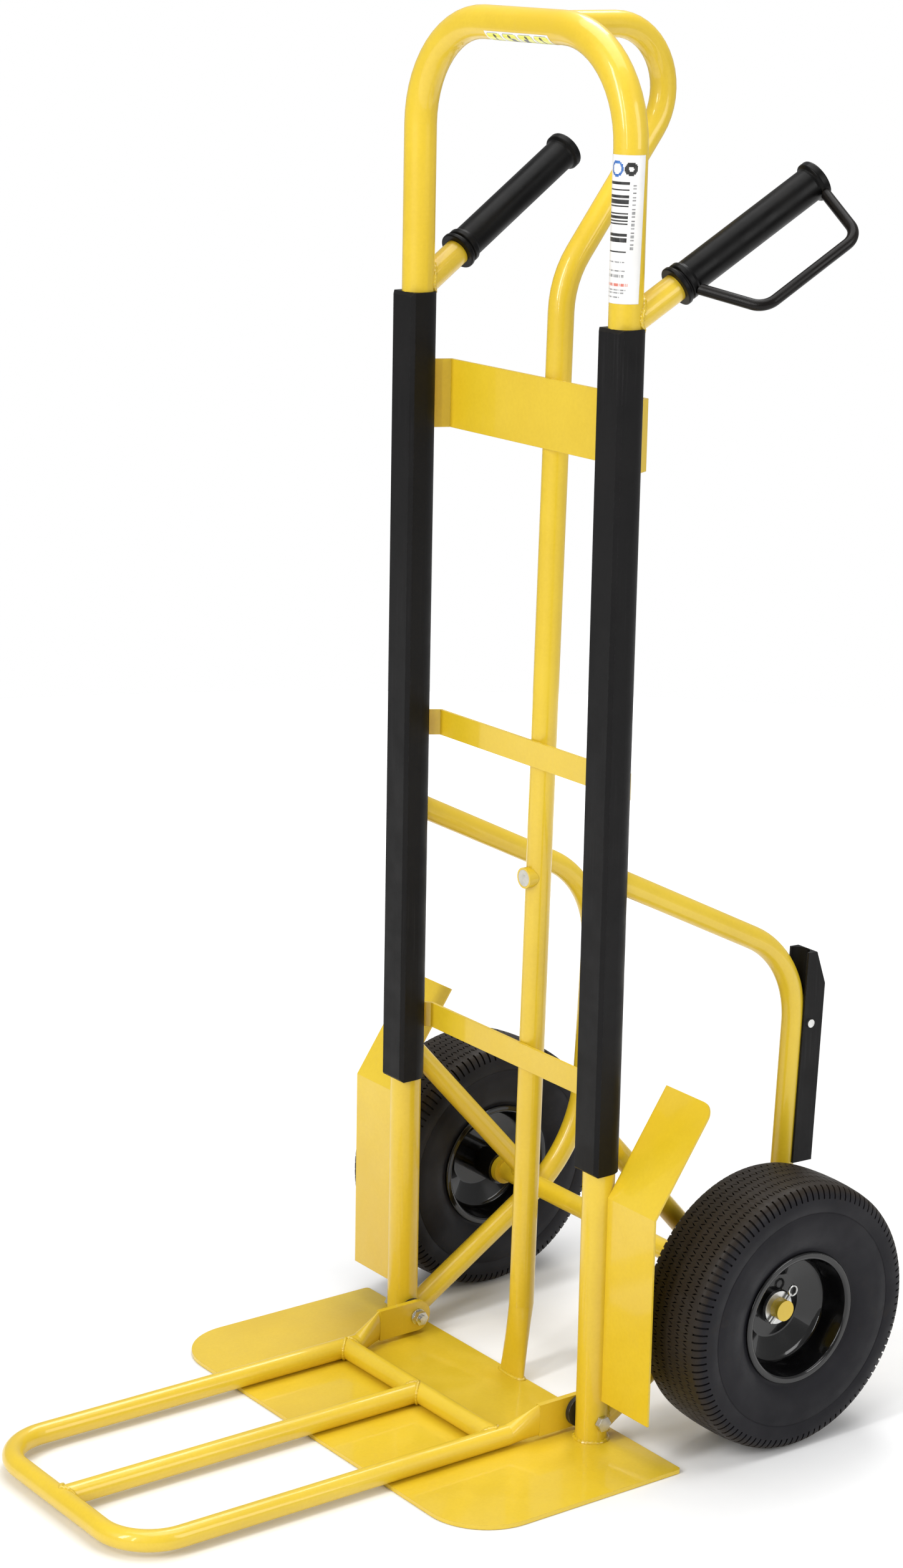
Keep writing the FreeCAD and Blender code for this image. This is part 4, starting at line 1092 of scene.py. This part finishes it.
@dataclass
class Welds:
    """Every weld bead: rippled, painted over, and lying along the seam of two parts."""

    finishes: Finishes
    bead: float = 0.0021
    ripple: float = 0.16
    upright_x: float = 0.152
    upright_radius: float = 0.015
    plate_top: float = 0.004
    rail_radius: float = 0.011
    brace_radius: float = 0.010
    handle_radius: float = 0.0125
    axle_radius: float = 0.010
    axle_y: float = 0.148
    axle_z: float = 0.130
    rail_top: tuple[float, float, float] = (0.233, 0.433, 26.5)
    rail_foot: tuple[float, float, float] = (0.2217, 0.15129, -32.0)
    brace: tuple[float, float, float] = (0.15335, 0.13606, 48.0)
    handle_height: float = 1.040
    handle_pitch: float = 32.0
    handle_splay: float = 7.7
    rail_low_slope: float = 32.0
    axle_seat_gap: float = 0.0052
    axle_seat_half_length: int = 6
    crossbar_place: tuple[float, float] = (0.1537, 0.0153)
    crossbar_ends: tuple[tuple[str, float, float], ...] = (
        ("upper", 0.914, 0.970), ("middle", 0.6155, 0.636), ("lower", 0.3215, 0.342))
    guard_place: tuple[float, float] = (0.1678, 0.0022)
    guard_stitches: tuple[float, ...] = (0.062, 0.140, 0.214)
    stitch_length: float = 0.026
    seam_step: float = 0.0011
    seam_fewest: int = 4
    ring_points: int = 64
    centre_foot: tuple[float, float, float] = (0.023, 0.018, 0.0045)
    top_bar_height: float = 1.285
    centre_tube_radius: float = 0.012
    extension_radius: float = 0.010
    extension_height: float = 0.0144
    extension_side: float = 0.122
    extension_crossbar_y: float = -0.089
    extension_front_y: float = -0.480
    heavy: float = 1.2
    light: float = 0.9
    count: int = field(default=0, init=False)

    def make(self) -> None:
        """Lay every bead of the frame and of the toe extension."""
        for side in Side:
            self.weld_side(side)
        self.weld_centre()
        self.weld_extension()
        log.info("welds: %d beads", self.count)

    def upright(self, side: Side) -> Rod:
        """Give one upright as a rod."""
        return Rod(Vector((side.value * self.upright_x, 0, 0)), Vector((0, 0, 1)),
                   self.upright_radius)

    def sloped(self, side: Side, y: float, z: float, slope: float, radius: float) -> Rod:
        """Give a rod that slopes back from an upright.

        Args:
            side: which upright.
            y: a point's Y on its axis.
            z: that point's Z.
            slope: how far it falls towards the back, in degrees; less than 0 rises.
            radius: its radius.

        Returns:
            The rod, which points backwards.
        """
        fall = math.radians(slope)
        return Rod(Vector((side.value * self.upright_x, y, z)),
                   Vector((0, math.cos(fall), -math.sin(fall))), radius)

    def weld_side(self, side: Side) -> None:
        """Lay the beads of one side of the frame.

        Args:
            side: which side.
        """
        name, upright = side.label, self.upright(side)
        rail_top = self.sloped(side, *self.rail_top, self.rail_radius)
        rail_foot = self.sloped(side, *self.rail_foot, self.rail_radius)
        brace = self.sloped(side, *self.brace, self.brace_radius)
        pitch, splay = math.radians(self.handle_pitch), math.radians(self.handle_splay)
        handle = Rod(Vector((side.value * self.upright_x, 0, self.handle_height)),
                     Vector((side.value * math.cos(pitch) * math.sin(splay),
                             math.cos(pitch) * math.cos(splay), math.sin(pitch))),
                     self.handle_radius)
        self.lay(f"{name}_rail_top_weld", rail_top.saddle(upright))
        self.lay(f"{name}_rail_foot_weld", rail_foot.saddle(upright))
        self.lay(f"{name}_brace_top_weld", brace.saddle(upright))
        axle = Rod(Vector((0, self.axle_y, self.axle_z)), Vector((1, 0, 0)), self.axle_radius)
        upward = Rod(brace.start, -brace.along, brace.radius)
        self.lay(f"{name}_brace_axle_weld", upward.saddle(axle))
        self.lay(f"{name}_handle_weld", handle.saddle(upright), self.heavy)
        self.lay(f"{name}_upright_foot_weld",
                 self.ring(side.value * self.upright_x, 0.0, self.upright_radius,
                           self.upright_radius), self.heavy)
        for bar, low, high in self.crossbar_ends:
            self.lay(f"{name}_{bar}_crossbar_weld",
                     self.seam(side, self.crossbar_place, low, high), closed=False)
        for index, low in enumerate(self.guard_stitches):
            self.lay(f"{name}_guard_stitch_{index}",
                     self.seam(side, self.guard_place, low, low + self.stitch_length),
                     closed=False)
        self.lay_axle_seat(side)

    def lay_axle_seat(self, side: Side) -> None:
        """Lay the two short beads that hold the rail against the underside of the axle.

        Args:
            side: which side.
        """
        slope = math.radians(self.rail_low_slope)
        touch = Vector((0, self.axle_y + self.axle_radius * math.sin(slope),
                        self.axle_z - self.axle_radius * math.cos(slope)))
        run = Vector((0, math.cos(slope), math.sin(slope)))
        reach = self.axle_seat_half_length
        for index, push in enumerate((-self.axle_seat_gap, self.axle_seat_gap)):
            middle = touch + run * push + Vector((side.value * self.upright_x, 0, 0))
            line = [middle + Vector((step * MM, 0, 0)) for step in range(-reach, reach + 1)]
            self.lay(f"{side.label}_axle_seat_weld_{index}", line, closed=False)

    def weld_centre(self) -> None:
        """Lay the beads at the foot and at the top end of the centre tube."""
        self.lay("centre_foot_weld", self.ring(0.0, *self.centre_foot))
        top = Vector((0, 0, self.top_bar_height))
        loop_end = Rod(top, Vector((0, 1, 0)), self.centre_tube_radius)
        top_bar = Rod(top, Vector((1, 0, 0)), self.upright_radius)
        self.lay("centre_top_weld", loop_end.saddle(top_bar), self.heavy)

    def weld_extension(self) -> None:
        """Lay the beads of the toe extension's two inner bars."""
        height, radius, side_x = self.extension_height, self.extension_radius, self.extension_side
        crossbar = Rod(Vector((0, self.extension_crossbar_y, height)), Vector((1, 0, 0)), radius)
        front = Rod(Vector((0, self.extension_front_y, height)), Vector((1, 0, 0)), radius)
        for side in Side:
            rail = Rod(Vector((side.value * side_x, 0, height)), Vector((0, 1, 0)), radius)
            stub = Rod(crossbar.start + Vector((side.value * side_x, 0, 0)),
                       Vector((-side.value, 0, 0)), radius)
            self.lay(f"{side.label}_extension_crossbar_weld", stub.saddle(rail), self.light,
                     body=Body.EXTENSION)
        for name, host, along in (("rear", crossbar, -1), ("front", front, 1)):
            bar = Rod(host.start, Vector((0, along, 0)), radius)
            self.lay(f"centre_bar_{name}_weld", bar.saddle(host), self.light,
                     body=Body.EXTENSION)

    def ring(self, x: float, y: float, half_x: float, half_y: float) -> list[Vector]:
        """Give an oval on the toe plate's top.

        Args:
            x: its middle's X.
            y: its middle's Y.
            half_x: half its length along X.
            half_y: half its length along Y.

        Returns:
            The points.
        """
        turns = [math.tau * index / self.ring_points for index in range(self.ring_points)]
        return [Vector((x + half_x * math.cos(turn), y + half_y * math.sin(turn),
                        self.plate_top)) for turn in turns]

    def seam(self, side: Side, place: tuple[float, float], low: float,
             high: float) -> list[Vector]:
        """Give an upright line of points.

        Args:
            side: which side of the truck it is on.
            place: its distance from the middle and its Y.
            low: its lower end.
            high: its upper end.

        Returns:
            The points.
        """
        count = max(round((high - low) / self.seam_step), self.seam_fewest)
        return [Vector((side.value * place[0], place[1], low + (high - low) * index / count))
                for index in range(count + 1)]

    def lay(self, name: str, line: Sequence[Vector], thickness: float = 1.0,
            closed: bool = True, body: Body = Body.FRAME) -> None:
        """Lay one bead along a line.

        Args:
            name: the bead's name.
            line: the points of the seam.
            thickness: how thick it is, as a part of the usual bead.
            closed: whether it goes all the way round.
            body: the body that it rides on.
        """
        Bench.clear()
        curve = bpy.data.curves.new(name, "CURVE")
        curve.dimensions = "3D"
        curve.bevel_depth = self.bead * thickness
        curve.bevel_resolution = 3
        curve.use_fill_caps = not closed
        spline = curve.splines.new("POLY")
        spline.points.add(len(line) - 1)
        spline.use_cyclic_u = closed
        for index, (point, place) in enumerate(zip(spline.points, line)):
            point.co = (*place, 1.0)
            wave = math.sin(index * math.tau / 3.0) + 0.5 * math.sin(index * 0.37)
            taper = 1.0 if closed else min(1.0, 0.55 + 0.2 * min(index, len(line) - 1 - index))
            point.radius = taper * (1.0 + self.ripple * wave)
        piece = bpy.data.objects.new(name, curve)
        bpy.context.scene.collection.objects.link(piece)
        piece.select_set(True)
        bpy.context.view_layer.objects.active = piece
        bpy.ops.object.convert(target="MESH")
        piece = bpy.context.active_object
        Bench.finish_mesh(piece, 60.0)
        self.finishes.dress(piece, [self.finishes.WELD])
        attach(piece, body.value)
        self.count += 1


@dataclass
class Sticker:
    """A printed sticker wrapped round a tube: a fine grid whose cells take the inks."""

    finishes: Finishes
    name: str
    tube_radius: float
    length: float
    arc_degrees: float
    cells_along: int
    cells_round: int
    thickness: float = 0.00014
    lift: float = 0.00004

    def model(self, ink_at: Callable[[float, float], int],
              place: Matrix, inks: Sequence[Finish], skew_degrees: float = 0.0) -> None:
        """Model the sticker and dress it.

        Args:
            ink_at: takes (along, round) from 0 to 1 and gives the ink's slot.
            place: puts the sticker, made round Z from angle 0, onto its tube.
            inks: the finishes of the slots; slot 0 is the stock.
            skew_degrees: how far the sticker twists from end to end.
        """
        Bench.clear()
        whole = round(self.cells_round * 360 / self.arc_degrees)
        bpy.ops.mesh.primitive_cylinder_add(
            vertices=whole, radius=self.tube_radius + self.lift, depth=self.length,
            end_fill_type="NOTHING", location=(0, 0, self.length / 2))
        sticker = Bench.take(self.name)
        arc = math.radians(self.arc_degrees)
        with Bench.editing(sticker):
            Bench.pick_faces(sticker, lambda p: self.turn_of(p) > arc)
            bpy.ops.mesh.delete(type="FACE")
            bpy.ops.mesh.select_mode(type="EDGE")
            bpy.ops.mesh.select_all(action="DESELECT")
            shape = bmesh.from_edit_mesh(sticker.data)
            for edge in shape.edges:
                edge.select_set(abs(edge.verts[0].co.z - edge.verts[1].co.z) > 0.5 * self.length)
            bmesh.update_edit_mesh(sticker.data)
            bpy.ops.mesh.subdivide(number_cuts=self.cells_along - 1)
        self.finishes.dress(sticker, inks)
        for cell in sticker.data.polygons:
            middle = cell.center
            cell.material_index = ink_at(middle.z / self.length, self.turn_of(middle) / arc)
        self.twist(sticker, math.radians(skew_degrees))
        sticker.data.transform(place)
        sheet = sticker.modifiers.new("stock", "SOLIDIFY")
        sheet.thickness = self.thickness
        sheet.offset = 1.0
        Bench.clear()
        sticker.select_set(True)
        bpy.context.view_layer.objects.active = sticker
        bpy.ops.object.modifier_apply(modifier=sheet.name)
        bpy.ops.object.shade_smooth_by_angle(angle=math.radians(30))
        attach(sticker, Body.FRAME.value)
        log.info("%s: %d faces", self.name, len(sticker.data.polygons))

    @staticmethod
    def turn_of(place: Vector) -> float:
        """Give a place's angle round Z, from 0 to a full turn."""
        return math.atan2(place.y, place.x) % math.tau

    def twist(self, sticker: bpy.types.Object, skew: float) -> None:
        """Turn each ring of the sticker a little further than the one below.

        Args:
            sticker: the sticker round Z.
            skew: the turn at the upper end.
        """
        for point in sticker.data.vertices:
            point.co = Matrix.Rotation(skew * point.co.z / self.length, 3, "Z") @ point.co


@dataclass
class Stickers:
    """The paper label on the right upright and the pictogram strip on the top bar."""

    finishes: Finishes
    tube_radius: float = 0.015
    label_length: float = 0.125
    label_place: tuple[float, float, float] = (0.152, 0.0, 1.060)
    label_turn: float = -146.0
    label_skew: float = 14.0
    strip_length: float = 0.091
    strip_place: tuple[float, float, float] = (-0.041, 0.0, 1.285)
    strip_turn: float = -64.0

    def make(self) -> None:
        """Model and dress both stickers."""
        self.make_label()
        self.make_pictograms()

    def make_label(self) -> None:
        """Model the paper label: ring, block, bars and plain lines, with no lettering."""
        label = Sticker(self.finishes, "upright_label", self.tube_radius, self.label_length,
                        arc_degrees=150.0, cells_along=156, cells_round=52)
        place = Matrix.Translation(self.label_place) @ Matrix.Rotation(
            math.radians(self.label_turn), 4, "Z")
        inks = [self.finishes.PAPER, self.finishes.INK, self.finishes.GREY_INK,
                self.finishes.BLUE_INK, self.finishes.RED_INK]
        label.model(self.label_ink, place, inks, skew_degrees=self.label_skew)

    @staticmethod
    def label_ink(along: float, across: float) -> int:
        """Choose the label's ink.

        Args:
            along: 0 at the bottom and 1 at the top.
            across: 0 at the left edge and 1 at the right edge.

        Returns:
            The ink's slot.
        """
        height, width = along * 125.0, across * 39.0
        ring = math.hypot((height - 113.5), (width - 12.0))
        if 4.6 < ring < 6.8:
            return 3
        block = max(abs(height - 113.5) / 5.6, abs(width - 25.5) / 5.8)
        if 0.35 < math.hypot(height - 113.5, width - 25.5) / 6.0 < 0.95 and block < 1:
            return 1
        if 42.0 < height < 103.0 and 3.0 < width < 25.0:
            beat = math.sin(height * 2.9) + math.sin(height * 1.31 + 1.0) + math.sin(height * 4.7)
            return 1 if beat > 0.25 else 0
        if 44.0 < height < 101.0 and 28.0 < width < 30.6:
            return 2 if math.sin(height * 1.9) > 0.1 else 0
        for row, reach, ink in ((35.0, 24.0, 2), (28.2, 26.0, 2), (23.6, 24.0, 2),
                                (16.2, 28.0, 4), (11.8, 27.0, 2), (8.8, 25.0, 2), (5.8, 21.0, 2)):
            if abs(height - row) < 0.75 and 5.0 < width < reach:
                return ink if math.sin(width * 3.7) > -0.55 else 0
        return 0

    def make_pictograms(self) -> None:
        """Model the strip of four plain pictograms on the top bar."""
        strip = Sticker(self.finishes, "pictogram_strip", self.tube_radius, self.strip_length,
                        arc_degrees=92.0, cells_along=130, cells_round=34)
        along_bar = Matrix.Rotation(math.pi / 2, 4, "Y")
        round_bar = Matrix.Rotation(math.radians(self.strip_turn), 4, "X")
        place = Matrix.Translation(self.strip_place) @ round_bar @ along_bar
        inks = [self.finishes.PAPER, self.finishes.PANEL, self.finishes.INK,
                self.finishes.GREY_INK]
        strip.model(self.pictogram_ink, place, inks)

    @staticmethod
    def pictogram_ink(along: float, across: float) -> int:
        """Choose the strip's ink.

        Args:
            along: 0 at the left end and 1 at the right end.
            across: 0 at the strip's lower edge and 1 at its upper edge.

        Returns:
            The ink's slot.
        """
        panel, inside = divmod(along * 4.0, 1.0)
        x, y = inside - 0.5, across - 0.5
        reach = max(abs(x) / 0.44, abs(y) / 0.42)
        corner = math.hypot(max(abs(x) - 0.32, 0) / 0.12, max(abs(y) - 0.30, 0) / 0.12)
        if reach > 1.0 or corner > 1.0:
            return 0
        if reach > 0.93 or corner > 0.8:
            return 3
        lean = 0.22 if panel % 2 else -0.22
        frame_line = abs(x - lean * (y + 0.1)) < 0.045 and -0.30 < y < 0.26
        wheel = math.hypot(x + lean * 0.2, (y + 0.28) * 0.9) < 0.085
        load = 0.04 < (x - lean * y) * (1 if lean > 0 else -1) < 0.26 and -0.2 < y < 0.12
        head = panel in (0, 3) and math.hypot(x - lean * 1.2, y - 0.27) < 0.07
        return 2 if frame_line or wheel or head or (load and panel in (1, 2)) else 1


# --------------------------------------------------------------------------- studio


@dataclass(frozen=True)
class Softbox:
    """One soft light: where it hangs, the point it faces, its size and its power in watts."""

    name: str
    place: tuple[float, float, float]
    aim: tuple[float, float, float]
    size: tuple[float, float]
    power: float


@dataclass
class Studio:
    """The pale floor, the soft lights, the white surround and the camera."""

    finishes: Finishes
    floor_radius: float = 2.9
    surround_glow: float = 0.42
    camera_place: tuple[float, float, float] = (2.41875, -1.8543, 1.40895)
    camera_right: tuple[float, float, float] = (0.5933, 0.8048, 0.0189)
    camera_up: tuple[float, float, float] = (-0.2182, 0.1382, 0.9661)
    lens: float = 78.44
    shift: tuple[float, float] = (-0.0062, 0.0019)
    sensor_width: float = 36.0
    sight_end: float = 100.0
    softboxes: tuple[Softbox, ...] = (
        Softbox("key_softbox", (0.4, -3.4, 2.6), (0.0, 0.0, 0.7), (0.55, 2.6), 75.0),
        Softbox("second_strip", (1.7, -3.5, 2.2), (0.0, 0.0, 0.7), (0.22, 2.4), 26.0),
        Softbox("side_softbox", (3.6, 1.2, 2.2), (0.1, 0.1, 0.5), (1.6, 2.2), 48.0),
        Softbox("top_softbox", (0.0, 0.2, 3.6), (0.0, 0.0, 0.0), (2.6, 2.6), 62.0),
        Softbox("back_softbox", (-1.8, 2.2, 4.6), (0.0, 0.0, 0.4), (1.8, 1.8), 70.0))

    def make(self) -> None:
        """Set up the floor, the lights, the world and the camera."""
        self.lay_floor()
        self.set_world()
        for softbox in self.softboxes:
            self.hang_light(softbox)
        self.set_camera()

    def lay_floor(self) -> None:
        """Lay a round floor under the truck."""
        Bench.clear()
        bpy.ops.mesh.primitive_circle_add(vertices=128, radius=self.floor_radius,
                                          fill_type="NGON", location=(0, 0, -0.0005))
        floor = Bench.take("studio_floor")
        with Bench.editing(floor):
            bpy.ops.mesh.select_all(action="SELECT")
            bpy.ops.mesh.inset(thickness=self.floor_radius / 2)
        self.finishes.dress(floor, [self.finishes.FLOOR])

    def set_world(self) -> None:
        """Surround the studio with even white light, shown with plain display colours."""
        bpy.context.scene.view_settings.view_transform = "Standard"
        world = bpy.data.worlds.new("white_surround")
        world.use_nodes = True
        bpy.context.scene.world = world
        board = ShaderBoard(world.node_tree)
        glow = world.node_tree.nodes["Background"]
        glow.inputs["Color"].default_value = (1.0, 1.0, 1.0, 1.0)
        glow.inputs["Strength"].default_value = self.surround_glow
        backdrop = board.add("ShaderNodeBackground")
        backdrop.inputs["Color"].default_value = (1.0, 1.0, 1.0, 1.0)
        backdrop.inputs["Strength"].default_value = 1.0
        choice = board.add("ShaderNodeMixShader")
        board.feed(choice.inputs[0], board.add("ShaderNodeLightPath").outputs["Is Camera Ray"])
        board.feed(choice.inputs[1], glow.outputs["Background"])
        board.feed(choice.inputs[2], backdrop.outputs["Background"])
        board.feed(world.node_tree.nodes["World Output"].inputs["Surface"],
                   choice.outputs["Shader"])

    def hang_light(self, softbox: Softbox) -> None:
        """Hang one softbox.

        Args:
            softbox: the light to hang.
        """
        lamp = bpy.data.lights.new(softbox.name, "AREA")
        lamp.shape = "RECTANGLE"
        lamp.size, lamp.size_y = softbox.size
        lamp.energy = softbox.power
        light = bpy.data.objects.new(softbox.name, lamp)
        light.location = softbox.place
        sight = Vector(softbox.aim) - Vector(softbox.place)
        light.rotation_euler = sight.to_track_quat("-Z", "Y").to_euler()
        bpy.context.scene.collection.objects.link(light)

    def set_camera(self) -> None:
        """Set up the camera and make it the scene's."""
        lens = bpy.data.cameras.new("studio_camera")
        lens.lens = self.lens
        lens.sensor_width = self.sensor_width
        lens.sensor_fit = "AUTO"
        lens.shift_x, lens.shift_y = self.shift
        lens.clip_end = self.sight_end
        camera = bpy.data.objects.new("studio_camera", lens)
        right, up = Vector(self.camera_right), Vector(self.camera_up)
        axes = Matrix((right, up, right.cross(up))).transposed().to_4x4()
        camera.matrix_world = Matrix.Translation(self.camera_place) @ axes
        bpy.context.scene.collection.objects.link(camera)
        bpy.context.scene.camera = camera


def main() -> None:
    """Dress the frame, build every added piece and set up the studio."""
    logging.basicConfig(level=logging.INFO, format="%(name)s: %(message)s")
    finishes = Finishes(EffectLibrary())
    Studio(finishes).make()
    finishes.dress_nodes(frame["nodes"])
    Tyres(finishes).make()
    Welds(finishes).make()
    Stickers(finishes).make()


if __name__ == "__main__":
    main()
